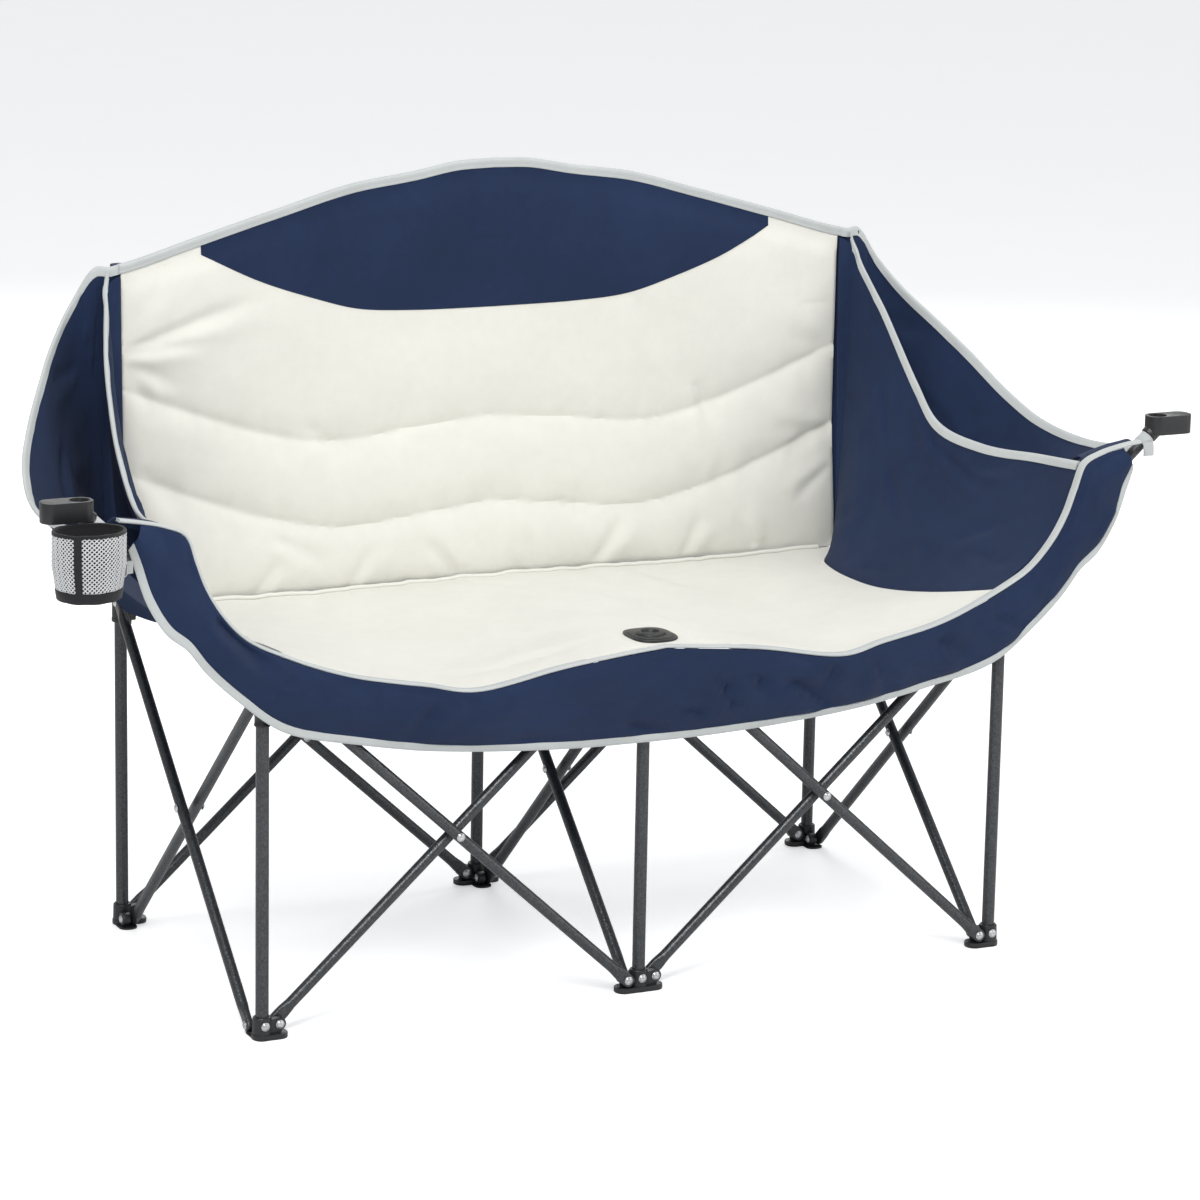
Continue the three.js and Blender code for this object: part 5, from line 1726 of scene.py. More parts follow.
INSERT_BASE = (
    (1.034, 0.916, -0.017), (1.03, 0.904, -0.026), (1, 0.892, -0.03), (0.976, 0.864, -0.032),
    (0.94, 0.816, -0.032),
    (0.91, 0.77, -0.032), (0.888, 0.68, -0.032), (0.872, 0.54, -0.032), (0.862, 0.36, -0.03),
    (0.896, 0.16, -0.002),
    (0.968, -0.016, 0.055),
)
FRONT_EDGE = (
    (0, -0.12, 0.011), (0.25, -0.12, -0.013), (0.5, -0.112, -0.051), (0.616, -0.1, -0.032), (0.8, -0.08, 0),
    (0.968, -0.056, 0.055), (1.128, -0.048, 0.1), (1.255, -0.048, 0.158), (1.349, -0.048, 0.224),
    (1.4, -0.048, 0.281),
    (1.455, -0.048, 0.343), (1.56, -0.048, 0.365), (1.69, -0.048, 0.378), (1.81, -0.048, 0.386),
)
RIM = (
    (0, -0.044, -0.23), (0.22, -0.044, -0.226), (0.46, -0.044, -0.211), (0.6, -0.044, -0.196),
    (0.76, -0.044, -0.169),
    (0.96, -0.044, -0.122), (1.17, -0.044, -0.041), (1.34, -0.044, 0.028), (1.447, -0.044, 0.085),
    (1.553, -0.044, 0.122), (1.66, -0.044, 0.194), (1.723, -0.044, 0.27), (1.76, -0.044, 0.32),
)
BACK_TOP = (
    (0, 1), (0.1, 0.996), (0.22, 0.976), (0.39, 0.953), (0.56, 0.91), (0.82, 0.84), (1.01, 0.789), (1.09, 0.782),
)
UPPER_QUILT = ((0, 0.365), (0.2, 0.352), (0.43, 0.328), (0.63, 0.36), (0.79, 0.409), (1.04, 0.499))
LOWER_QUILT = ((0, 0.156), (0.2, 0.136), (0.43, 0.119), (0.63, 0.156), (0.79, 0.205), (1.04, 0.298))
PATCH_EDGE = ((0, 0.64), (0.23, 0.642), (0.38, 0.653), (0.5, 0.684), (0.65, 0.733), (0.82, 0.81))
SEAT_PLACES = (0, 0.1, 0.26, 0.52, 0.64, 0.83, 1)
SEAT_FRONT = (0.011, 0.011, -0.013, -0.051, -0.032, 0, 0.055)
SEAT_MIDDLE = (0.0147, 0.0147, -0.04, -0.09, -0.085, -0.055, -0.06)
SEAT_BACK = (-0.028, -0.028, -0.03, -0.034, -0.034, -0.03, -0.028)


def height_along(table: Table, x: np.ndarray) -> np.ndarray:
    """Z of a line on the backrest at places across it."""
    return LAYOUT.up(read(table, np.abs(x) / LAYOUT.bay))


@dataclass(frozen=True)
class PocketSeam:
    """The stitched outline of a pocket on the front of the backrest: two sides and a foot."""

    left: float
    width: float = 44.0
    low: float = 764.0
    high: float = 862.0

    def dip(self, x: np.ndarray, z: np.ndarray) -> np.ndarray:
        """How the seam presses the pad's face in."""
        right, groove = self.left + self.width, 2.6
        inside = smooth((z - self.low + 4) / 4)
        sides = sum(np.exp(-(((x - edge) / groove) ** 2)) for edge in (self.left, right)) * inside
        foot = np.exp(-(((z - self.low) / groove) ** 2))
        foot = foot * smooth((x - self.left + 3) / 3) * smooth((right - x + 3) / 3)
        return 0.9 * np.maximum(sides, foot) * smooth((self.high + 26 - z) / 5)

    def lines(self) -> list[tuple[np.ndarray, np.ndarray]]:
        """X and Z of its rows of stitches."""
        up = np.linspace(self.low, self.high, 40)
        over = np.linspace(self.left, self.left + self.width, 20)
        return [
            (np.full(40, self.left), up),
            (np.full(40, self.left + self.width), up),
            (over, np.full(20, self.low)),
        ]


SIDE_SEAMS = (PocketSeam(-492.0), PocketSeam(448.0))
MIDDLE_SEAM = PocketSeam(-36.0, 50.0, 874.0, 966.0)


@dataclass
class Backrest:
    """The quilted back pad, its navy headrest patch and the shell behind it."""

    half: float = 505.8
    shell_half: float = 521.4
    patch_half: float = 400.0
    base: float = 430.0
    thickness: float = 10.0
    tuck: float = 6.0
    quilt: float = 5.0
    swell: float = 5.0
    hem: float = 475.0
    hem_front: float = 1.2
    patch_proud: float = 1.1
    columns: int = 180
    creases: tuple[Crease, ...] = folds(
        (-512, 752, -330, 812, 4.5, 9), (-512, 748, -392, 764, 3.6, 7), (-510, 744, -430, 705, 3.4, 8),
        (-506, 738, -462, 676, 3.0, 8), (-512, 756, -452, 850, 3.0, 9), (508, 600, 430, 560, 3.0, 9),
        (508, 585, 400, 600, 2.6, 10), (500, 540, 440, 500, 3.0, 8), (508, 700, 420, 730, 2.4, 12),
        (300, 660, 330, 600, 2.2, 10), (-480, 600, -430, 545, 2.6, 10), (-300, 500, -240, 470, 2.2, 9),
        (150, 445, 190, 500, 3.0, 9), (60, 440, 40, 490, 2.6, 9), (-60, 445, -110, 495, 2.8, 9),
        (-200, 436, -170, 490, 2.4, 8), (-330, 436, -300, 480, 2.6, 8), (280, 445, 300, 490, 2.4, 9),
        (380, 445, 350, 485, 2.4, 9), (210, 780, 250, 700, 1.8, 14), (-250, 640, -200, 600, 1.8, 11),
        (100, 520, 160, 480, 1.8, 10),
    )

    def seams(self, x: np.ndarray) -> list[np.ndarray]:
        """Heights of the base, the two quilting lines and the top."""
        top = height_along(BACK_TOP, x) - TAPE_WIDTH + self.tuck
        return [np.full_like(x, self.base), height_along(LOWER_QUILT, x), height_along(UPPER_QUILT, x), top]

    def foot_seam(self, x: np.ndarray) -> np.ndarray:
        """Height of the base."""
        return self.seams(x)[0]

    def top_seam(self, x: np.ndarray) -> np.ndarray:
        """Height of the top."""
        return self.seams(x)[3]

    def relief(self, x: np.ndarray, z: np.ndarray) -> np.ndarray:
        """Y of the pad's face: crowned panels, puckers at the seams and creases."""
        noise = Noise(11)
        lines = self.seams(x)
        side = 1 - (np.abs(x) / self.half) ** 16
        y = back_face(z) + self.quilt
        for k, (low, high) in enumerate(zip(lines, lines[1:])):
            share = np.clip((z - low) / (high - low), 0, 1)
            power = 4.5 if k == 2 else 2.4
            y = y - (self.quilt + self.swell) * (1 - np.abs(2 * share - 1) ** power) * side
        for line in lines[:3]:
            gap = np.abs(z - line)
            pucker = noise.layered(x / 21.0, z / 70.0, 3) * np.exp(-((gap / 26.0) ** 2))
            y = y + 3.1 * pucker + 1.5 * np.exp(-((gap / 3.2) ** 2))
        y = y + 2.6 * noise.layered(x / 130.0 + 5, z / 95.0, 3) * side
        y = y + 1.5 * pressed(self.creases, x, z) * side
        for seam in (*SIDE_SEAMS, MIDDLE_SEAM):
            y = y + seam.dip(x, z)
        return y

    def grid(self, half: float, low: Callable, high: Callable, rows: int) -> tuple[np.ndarray, np.ndarray]:
        """X and Z of a grid between two lines across the backrest."""
        x = np.linspace(-half, half, self.columns + 1)
        share = np.linspace(0, 1, rows + 1)[:, None]
        z = low(x)[None, :] * (1 - share) + high(x)[None, :] * share
        return np.broadcast_to(x, z.shape), z

    def hemmed(self, z: np.ndarray, x: np.ndarray, y: np.ndarray, hem: float) -> np.ndarray:
        """Y drawn together under the top tape."""
        free = smooth((height_along(BACK_TOP, x) - 13.0 - z) / 34.0)
        return hem * (1 - free) + y * free

    def pad(self, shop: Workshop) -> None:
        """Makes the quilted pad and its stitches."""
        x, z = self.grid(self.half, self.foot_seam, self.top_seam, 128)
        front = np.dstack([x, self.face_y(x, z), z])
        back = np.dstack([x, self.hemmed(z, x, back_face(z) + self.thickness, self.hem + 0.8), z])
        work = FabricPiece("back_pad_skin", ("back_pad",), "cream_fabric", BACK_RIDE)
        piece = work.make(shop, two_faced(front, back, ROUND_RIM), shop.wear.cream)
        places = np.linspace(-self.half + 3, self.half - 3, 320)
        rows = [self.on_face(places, self.seams(places)[k]) for k in (1, 2)]
        rows += [self.on_face(*line) for seam in SIDE_SEAMS for line in seam.lines()]
        sew(shop, "back_pad_thread", rows, shop.wear.cream_thread, "cream_fabric", BACK_RIDE)

    def face_y(self, x: np.ndarray, z: np.ndarray) -> np.ndarray:
        """Y of the pad's face, drawn together under the top tape."""
        return self.hemmed(z, x, self.relief(x, z), self.hem - self.hem_front)

    def on_face(self, x: np.ndarray, z: np.ndarray, proud: float = THREAD_PROUD) -> np.ndarray:
        """Points on the pad's face."""
        return np.column_stack([x, self.face_y(x, z) - proud, z])

    def patch(self, shop: Workshop) -> None:
        """Makes the navy headrest patch on the pad."""
        low, top = partial(height_along, PATCH_EDGE), self.top_seam
        x, z = self.grid(self.patch_half, low, top, 56)
        y = self.face_y(x, z)
        front = np.dstack([x, y - self.patch_proud, z])
        back = np.dstack([x, y + 0.3, z])
        work = FabricPiece("headrest_skin", ("headrest_panel",), "navy_fabric", BACK_RIDE)
        piece = work.make(shop, two_faced(front, back, ROUND_RIM), shop.wear.navy)
        ClothFacts.of(front).declare(piece, "laid", ["back_pad_skin"])
        places = np.linspace(-self.patch_half + 3, self.patch_half - 3, 260)
        proud = self.patch_proud + THREAD_PROUD
        rows = [self.on_face(places, low(places) + 3.2, proud)]
        for side in (places[:1], places[-1:]):
            rows.append(self.on_face(side.repeat(20), np.linspace(low(side)[0] + 4, top(side)[0] - 8, 20), proud))
        rows += [self.on_face(*line, proud) for line in MIDDLE_SEAM.lines()]
        sew(shop, "headrest_thread", rows, shop.wear.navy_thread, "navy_fabric", BACK_RIDE)

    def shell_y(self, x: np.ndarray, z: np.ndarray) -> np.ndarray:
        """Y of the shell's front face, with soft waves."""
        noise = Noise(23)
        near = np.min([np.abs(x - c) for _, c in COLUMNS], axis=0)
        free = smooth((near - 14) / 60) * smooth((z - 452) / 60)
        wave = noise.layered(x / 150.0, z / 200.0, 3) * 3.0 + noise.layered(x / 40.0, z / 300.0, 2) * 1.2
        return back_face(z) + self.thickness + 1.5 + np.maximum(wave, -0.6) * free

    def shell(self, shop: Workshop) -> None:
        """Makes the shell's back sheet, its pockets and their stitches."""
        x, z = self.grid(self.shell_half, partial(np.full_like, fill_value=449.0), self.top_seam, 90)
        y = self.shell_y(x, z)
        wing = through(WING_BASE)[0], through(WING_TOP)[0]
        reach = np.interp(z, [wing[0][2], wing[1][2]], [wing[0][0], wing[1][0]]) + 1.5
        x = x * reach / self.shell_half
        y = y - 5.5 * smooth((np.abs(x) - reach + 22) / 20)
        front = np.dstack([x, self.hemmed(z, x, y, self.hem + 1.0), z])
        back = np.dstack([x, self.hemmed(z, x, y + 1.8, self.hem + 2.0), z])
        work = FabricPiece("shell_back_skin", ("shell_back",), "navy_fabric", BACK_RIDE)
        piece = work.make(shop, two_faced(front, back, ROUND_RIM), shop.wear.navy)
        pockets = [self.pocket(shop, side, at) for side, at in COLUMNS]
        ClothFacts.of(back).declare(piece, "stretched", ["rear_upright_middle"], pockets)

    def pocket(self, shop: Workshop, word: str, x: float) -> bpy.types.Object:
        """Makes one sleeve that holds the top of a rear upright."""
        top = LAYOUT.rear_top(word)
        face = float(back_face(top)) + self.thickness + 2.6
        inner, outer = 8.7, 10.6
        turn = np.linspace(math.pi, 0, 15)
        wide, narrow = (
            [(x + r * math.cos(t), LAYOUT.depth + r * math.sin(t)) for t in turn] for r in (outer, inner)
        )
        flange = [(x - outer - 14, face), (x - outer - 14, face + 1.6), (x - outer - 1, face + 1.8)]
        outline = [*wide, (x + outer, face + 2.4), (x + outer + 1, face + 1.8), (x + outer + 14, face + 1.6)]
        outline += [(x + outer + 14, face), (x + inner, face), *reversed(narrow), (x - inner, face), *flange]
        outline += [(x - outer, face + 2.4)]
        shape = prism(np.array(outline[::-1]), top - 104, top + 0.4, 0.35)
        roof = [*wide, (x + outer, face + 0.4), (x - outer, face + 0.4)]
        shape.add(prism(np.array(roof[::-1]), top + 0.3, top + 1.3, 0.4))
        piece = shop.maker.make(f"pocket_{word}_skin", shape, shop.wear.navy)
        rows = []
        for aside in (-outer - 9, -outer - 5, outer + 5, outer + 9):
            heights = np.linspace(top - 102, top - 2, 24)
            rows.append(np.column_stack([np.full(24, x + aside), np.full(24, face + 1.9), heights]))
        thread = shop.stitches(f"pocket_{word}_thread", rows, shop.wear.grey_thread)
        carried(thread, f"rear_post_{word}", "navy_fabric")
        return carried(piece, f"rear_post_{word}", "navy_fabric", "shell_back")

    def binding(self, shop: Workshop) -> None:
        """Makes the tape over the top of the backrest."""
        x = np.linspace(0, LAYOUT.across(1.0) + 9.0, 132)
        edge = np.column_stack([x, np.full_like(x, self.hem), height_along(BACK_TOP, x)])
        edge = both_halves(edge)
        inner = edge - Z_AXIS * TAPE_WIDTH
        Binding(
            "shell_binding_back", ("shell_binding",), edge, inner, BACK_RIDE, 31, half_thickness=5.0, wave=0.4
        ).dress(shop)

    def dress(self, shop: Workshop) -> None:
        """Makes the whole backrest."""
        self.pad(shop)
        self.patch(shop)
        self.shell(shop)
        self.binding(shop)


@dataclass
class SidePanels:
    """One side: the outer wing, the padded inner panel and their tapes."""

    side: Side
    wing_bulge: float = 14.0
    pad_bulge: float = 26.0
    tuck: float = 7.0
    steps: int = 8
    columns: int = 60
    wing_creases: tuple[Crease, ...] = folds(
        (60, 300, 150, 330, 3.6, 10), (150, 250, 240, 230, 4.2, 11), (260, 180, 330, 210, 3.6, 10),
        (330, 190, 400, 130, 3.4, 11), (430, 160, 470, 90, 3.8, 10), (80, 60, 180, 110, 3.4, 13),
        (300, 40, 380, 90, 3.4, 12), (480, 60, 560, 110, 3.6, 11), (120, 200, 60, 150, 2.8, 12),
    )
    pad_creases: tuple[Crease, ...] = folds(
        (250, 250, 330, 200, 4.4, 8), (285, 262, 300, 205, 3.8, 7), (330, 215, 400, 190, 4.0, 8),
        (360, 120, 440, 150, 3.6, 9), (300, 95, 365, 70, 3.2, 9), (420, 95, 470, 60, 3.4, 8),
        (180, 150, 235, 110, 2.8, 10), (90, 330, 150, 300, 2.6, 9), (60, 60, 130, 90, 3.0, 9),
        (210, 30, 280, 45, 3.0, 8), (400, 220, 470, 235, 3.4, 8), (140, 240, 180, 190, 2.2, 10),
    )

    def place(self, points: np.ndarray) -> np.ndarray:
        """Points moved to this side."""
        return points * np.array([float(self.side.value), 1.0, 1.0])

    def rippled(
        self, grid: np.ndarray, out: np.ndarray, creases: Sequence[Crease], seed: int, height: float, calm: float
    ) -> np.ndarray:
        """Pushes a grid in and out along its normals, less near its edges.

        Args:
            grid: Points of the panel.
            out: Its outward direction for each row.
            creases: Folds, placed by distance along it and up it.
            seed: What fixes the waves.
            height: Size of the waves.
            calm: Width of the calm border.

        Returns:
            The moved points.
        """
        normals = facing_normals(grid, out)
        along = arc_lengths(grid, 0)
        up = arc_lengths(grid, 1)
        total_up, total_along = up[:, -1:], along[-1:, :]
        border = smooth(up / calm) * smooth((total_up - up) / calm)
        border = border * smooth(along / calm) * smooth((total_along - along) / calm)
        noise = Noise(seed + self.side.value)
        wave = noise.layered(along / 85.0, up / 70.0, 3) * height
        edge = np.exp(-((total_up - up) / 30.0) ** 2) * noise.layered(along / 26.0, up * 0, 2) * height * 0.5
        push = (wave + pressed(creases, along, up)) * border + edge * smooth((total_up - up) / 8)
        return grid + normals * push[:, :, None]

    def parts(self, name: str, parted: int) -> list[tuple[str, slice, Ride]]:
        """Names, rows and rides of a panel's front and rear part, which move past each other."""
        return [
            (f"{name}_skin", slice(parted, None), SIDE_RIDES[self.side]),
            (f"{name}_rear_skin", slice(0, parted + 1), REAR_SIDE_RIDES[self.side]),
        ]

    def wing(self, shop: Workshop) -> None:
        """Makes the outer navy wing and its tape."""
        top, base = through(WING_TOP, self.steps), through(WING_BASE, self.steps)
        upper = inward(top, base, TAPE_WIDTH - self.tuck)
        out = away_from_seat(base, upper)
        share = np.linspace(0, 1, len(top))
        grid = hung(base, upper, self.columns, self.wing_bulge * smooth(2 * share), out)
        grid = self.place(self.rippled(grid, out, self.wing_creases, 41, 3.2, 40.0))
        outer = grid + facing_normals(grid, self.place(out)) * CLOTH
        node, parted = f"wing_{self.side.word}", self.steps * 6
        for name, rows, ride in self.parts(node, parted):
            work = FabricPiece(name, (node,), "navy_fabric", ride)
            piece = work.make(shop, two_faced(grid[rows], outer[rows]), shop.wear.navy)
            ClothFacts.of(outer[rows]).declare(piece, "stretched", [f"side_pad_{self.side.word}_skin"])
        start = np.array([LAYOUT.across(1.0), 475.0, float(height_along(BACK_TOP, np.array([500.0]))[0])])
        turn = np.array([LAYOUT.across(1.09), 475.5, LAYOUT.up(0.782)])
        edge = refined(np.array([start, turn, *(LAYOUT.spot(s) for s in WING_TOP)]), self.steps)
        lead = len(edge) - len(top)
        lower = np.vstack([edge[:lead] - [0, 0, 60.0], base])
        inner = self.place(inward(edge, lower, TAPE_WIDTH))
        Binding(
            f"shell_binding_{self.side.word}", ("shell_binding",), self.place(edge), inner,
            SIDE_RIDES[self.side], 51 + self.side.value, half_thickness=1.9, wave=0.4, faces=(grid, outer),
            parted=lead + parted, rear_ride=REAR_SIDE_RIDES[self.side],
        ).dress(shop)

    def pad(self, shop: Workshop) -> None:
        """Makes the padded inner panel and its tape."""
        top, base = through(INSERT_TOP, self.steps), through(INSERT_BASE, self.steps)
        upper = inward(top, base, TAPE_WIDTH - self.tuck)
        upper[:, 2] += 6.0 * (1 - smooth(np.arange(len(top)) / self.steps))
        out = away_from_seat(base, upper)
        share = np.linspace(0, 1, len(top))
        base = inward(base, upper, -7.0)
        grid = hung(base, upper, self.columns, self.pad_bulge * smooth(share), out)
        v = np.linspace(0, 1, self.columns + 1)
        rise = (1 - np.abs(2 * share - 1) ** 6)[:, None] * (1 - np.abs(2 * v - 1) ** 6)[None, :]
        normals = facing_normals(grid, out)
        inner_face = grid - normals * (3.5 * rise)[:, :, None]
        inner_face = self.place(self.rippled(inner_face, out, self.pad_creases, 61, 3.4, 34.0))
        narrow = smooth((1 - v) * 9)[None, :]
        outer_face = self.place(grid + normals * (1.2 + (2.8 + 4 * rise) * narrow)[:, :, None])
        node, parted = f"side_pad_{self.side.word}", self.steps * 7
        for name, rows, ride in self.parts(node, parted):
            work = FabricPiece(name, (node,), "navy_fabric", ride)
            piece = work.make(shop, two_faced(inner_face[rows], outer_face[rows]), shop.wear.navy)
        start = LAYOUT.spot((1.112, 0.942, 0.772))
        edge = refined(np.array([start, *(LAYOUT.spot(s) for s in INSERT_TOP[1:])]), self.steps)
        lower = np.vstack([edge[: self.steps] - [0, 0, 60.0], base[self.steps :][: len(edge) - self.steps]])
        faces = inner_face[self.steps :], outer_face[self.steps :]
        Binding(
            f"insert_binding_{self.side.word}_skin", (f"insert_binding_{self.side.word}",), self.place(edge),
            self.place(inward(edge, lower, TAPE_WIDTH)), SIDE_RIDES[self.side], 71 + self.side.value,
            half_thickness=2.3, wave=0.4, faces=faces, parted=parted, rear_ride=REAR_SIDE_RIDES[self.side],
        ).dress(shop)

    def arm_top(self, shop: Workshop) -> None:
        """Makes the navy top of the arm's sleeve."""
        edges = (
            (-24 + 6.0, ((1.47, 0.345), (1.6, 0.367), (1.78, 0.383))),
            (24 + 12.0, ((1.5, 0.325), (1.66, 0.345), (1.8, 0.352))),
        )
        lower, upper = (
            refined(np.array([[LAYOUT.across(x), y, LAYOUT.up(z)] for x, z in shares]), 14) for y, shares in edges
        )
        out = np.tile(Z_AXIS, (len(lower), 1))
        grid = hung(lower, upper, 24, np.full(len(lower), 8.0), out)
        grid = self.rippled(grid, out, (), 81, 1.6, 12.0)
        under = grid - facing_normals(grid, out) * CLOTH
        word = self.side.word
        work = FabricPiece(f"arm_top_{word}_skin", (f"arm_top_{word}",), "navy_fabric", SIDE_RIDES[self.side])
        piece = work.make(shop, two_faced(self.place(grid), self.place(under), ROUND_RIM), shop.wear.navy)
        ClothFacts.of(grid).declare(piece, "stretched", [f"arm_end_{word}_skin"])

    def dress(self, shop: Workshop) -> None:
        """Makes the whole side."""
        self.pad(shop)
        self.wing(shop)
        self.arm_top(shop)


@dataclass
class Seat:
    """The padded seat and the shell's base under it, each in a front and a rear half."""

    back: float = 450.0
    pad_middle: float = 14.0
    pad_edge: float = 4.0
    pad_hub: float = 4.5
    lift: float = 1.96
    gap: float = 0.6
    side_gap: float = 2.4
    last_side: float = 446.0
    tape_depth: float = 12.9
    tuck: float = 6.0
    parted: float = 0.66
    columns: int = 168
    rows: int = 96
    creases: tuple[Crease, ...] = folds(
        (30, 20, -120, 110, 2.4, 16), (40, 40, 30, 200, 1.8, 16), (30, 20, 200, 120, 2.2, 15),
        (-60, 10, -260, 30, 2.0, 14), (150, 445, 120, 330, 2.6, 12), (-60, 445, -20, 350, 2.0, 12),
        (180, 445, 250, 330, 2.4, 12), (-250, 445, -290, 370, 2.0, 12), (-430, 160, -380, 40, 2.4, 12),
        (430, 170, 330, 60, 2.4, 14), (420, 330, 330, 250, 2.2, 13), (-420, 330, -330, 240, 2.2, 13),
    )

    def side_line(self, y: np.ndarray) -> np.ndarray:
        """Half width of the seat where the side pads meet it."""
        return np.interp(np.minimum(y, self.last_side), *self.base_line()) - self.side_gap

    def front_line(self, across: np.ndarray) -> np.ndarray:
        """Y of the seat's front edge, under its tape."""
        edge = through(FRONT_EDGE)
        reach = np.abs(across) * float(np.interp(0.0, *self.base_line()))
        return np.interp(reach, edge[:, 0], edge[:, 1]) + self.tape_depth - self.tuck

    @staticmethod
    def base_line() -> tuple[np.ndarray, np.ndarray]:
        """Y and X of the side pads' lower edge, from the front back."""
        line = through(INSERT_BASE)[::-1]
        return line[:, 1], line[:, 0]

    @staticmethod
    def over_hub(across: np.ndarray, along: np.ndarray) -> np.ndarray:
        """1 over the middle hub and 0 away from it."""
        aside = 1 - smooth((np.abs(across) - 0.09) / 0.21)
        return aside * (1 - smooth((along - 0.18) / 0.21))

    def height(self, across: np.ndarray, along: np.ndarray) -> np.ndarray:
        """Z of the seat without its padding's relief."""
        front, middle, back = (
            read(list(zip(SEAT_PLACES, values)), np.abs(across)) for values in (SEAT_FRONT, SEAT_MIDDLE, SEAT_BACK)
        )
        share = (1 - along) ** 2 * front + 2 * along * (1 - along) * middle + along**2 * back
        return LAYOUT.up(share) + self.lift * self.over_hub(across, along)

    def places(self, start: float, end: float) -> tuple[np.ndarray, ...]:
        """Shares and plan places of a grid on the seat, between two shares of its depth."""
        across = np.linspace(-1, 1, self.columns + 1)[None, :]
        along = np.linspace(start, end, round(self.rows * (end - start)) + 1)[:, None]
        across, along = np.broadcast_arrays(across, along)
        near = self.front_line(across)
        y = near + (self.back - near) * along
        return across, along, across * self.side_line(y), y

    def relief(self, across: np.ndarray, along: np.ndarray, x: np.ndarray, y: np.ndarray) -> np.ndarray:
        """How far the padding stands above the seat's plain height."""
        noise = Noise(17)
        calm = 1 - 0.85 * self.over_hub(across, along)
        rise = (1 - np.abs(across) ** 10) * (1 - np.abs(2 * along - 1) ** 8)
        wave = 2.6 * noise.layered(x / 120.0, y / 110.0, 3) + 0.7 * noise.layered(x / 32.0, y / 40.0, 2)
        seam = np.exp(-((self.back - y) / 26.0) ** 2) * noise.layered(x / 24.0, y * 0, 3) * 2.2
        loose = wave * rise - pressed(self.creases, x, y) * rise
        return calm * (1.5 * rise + loose + seam * (1 - np.abs(across) ** 8))

    def thickness(self, across: np.ndarray, along: np.ndarray) -> np.ndarray:
        """Thickness of the padding."""
        rise = (1 - np.abs(across) ** 6) * (1 - np.abs(2 * along - 1) ** 4)
        full = self.pad_edge + (self.pad_middle - self.pad_edge) * rise
        over = self.over_hub(across, along)
        return full * (1 - over) + self.pad_hub * over

    def dress(self, shop: Workshop) -> None:
        """Makes both halves of the pad and of the base, and the seam at the backrest."""
        parts = (("front", 0.0, self.parted, FRONT_RIDE), ("rear", self.parted, 1.0, BACK_RIDE))
        for word, start, end, ride in parts:
            across, along, x, y = self.places(start, end)
            z = self.height(across, along)
            top = np.dstack([x, y, z + self.relief(across, along, x, y)])
            under = np.dstack([x, y, z - self.thickness(across, along)])
            work = FabricPiece(f"seat_pad_{word}", ("seat_pad",), "cream_fabric", ride)
            work.make(shop, two_faced(top, under), shop.wear.cream)
            base_top = np.dstack([x, y, under[:, :, 2] - self.gap])
            base_under = base_top - Z_AXIS * CLOTH
            work = FabricPiece(f"shell_base_{word}", ("shell_base",), "navy_fabric", ride)
            piece = work.make(shop, two_faced(base_top, base_under), shop.wear.navy)
            ClothFacts.of(base_under).declare(piece, "stretched", ["front_hub_middle"])
        self.piping(shop)

    def piping(self, shop: Workshop) -> None:
        """Makes the piped seam where the seat meets the backrest."""
        across = np.linspace(-0.985, 0.985, 200)
        along = np.ones_like(across)
        x = across * float(self.side_line(np.array([430.0]))[0])
        y = np.full_like(x, 449.5)
        z = self.height(across, along) + self.relief(across, along, x, y) + 1.8
        noise = Noise(91)
        line = np.column_stack([x, y + noise.layered(x / 30.0, x * 0, 2) * 0.8, z])
        turn = circle(10)
        rows = np.array([[p + np.array([0, 3.4 * math.cos(t), 2.7 * math.sin(t)]) for t in turn] for p in line])
        shape = strip(rows, path_lengths(line), np.linspace(0, 19.0, 11))
        FabricPiece("seat_seam_piping", (), "cream_fabric", BACK_RIDE).make(shop, shape, shop.wear.cream, 80)


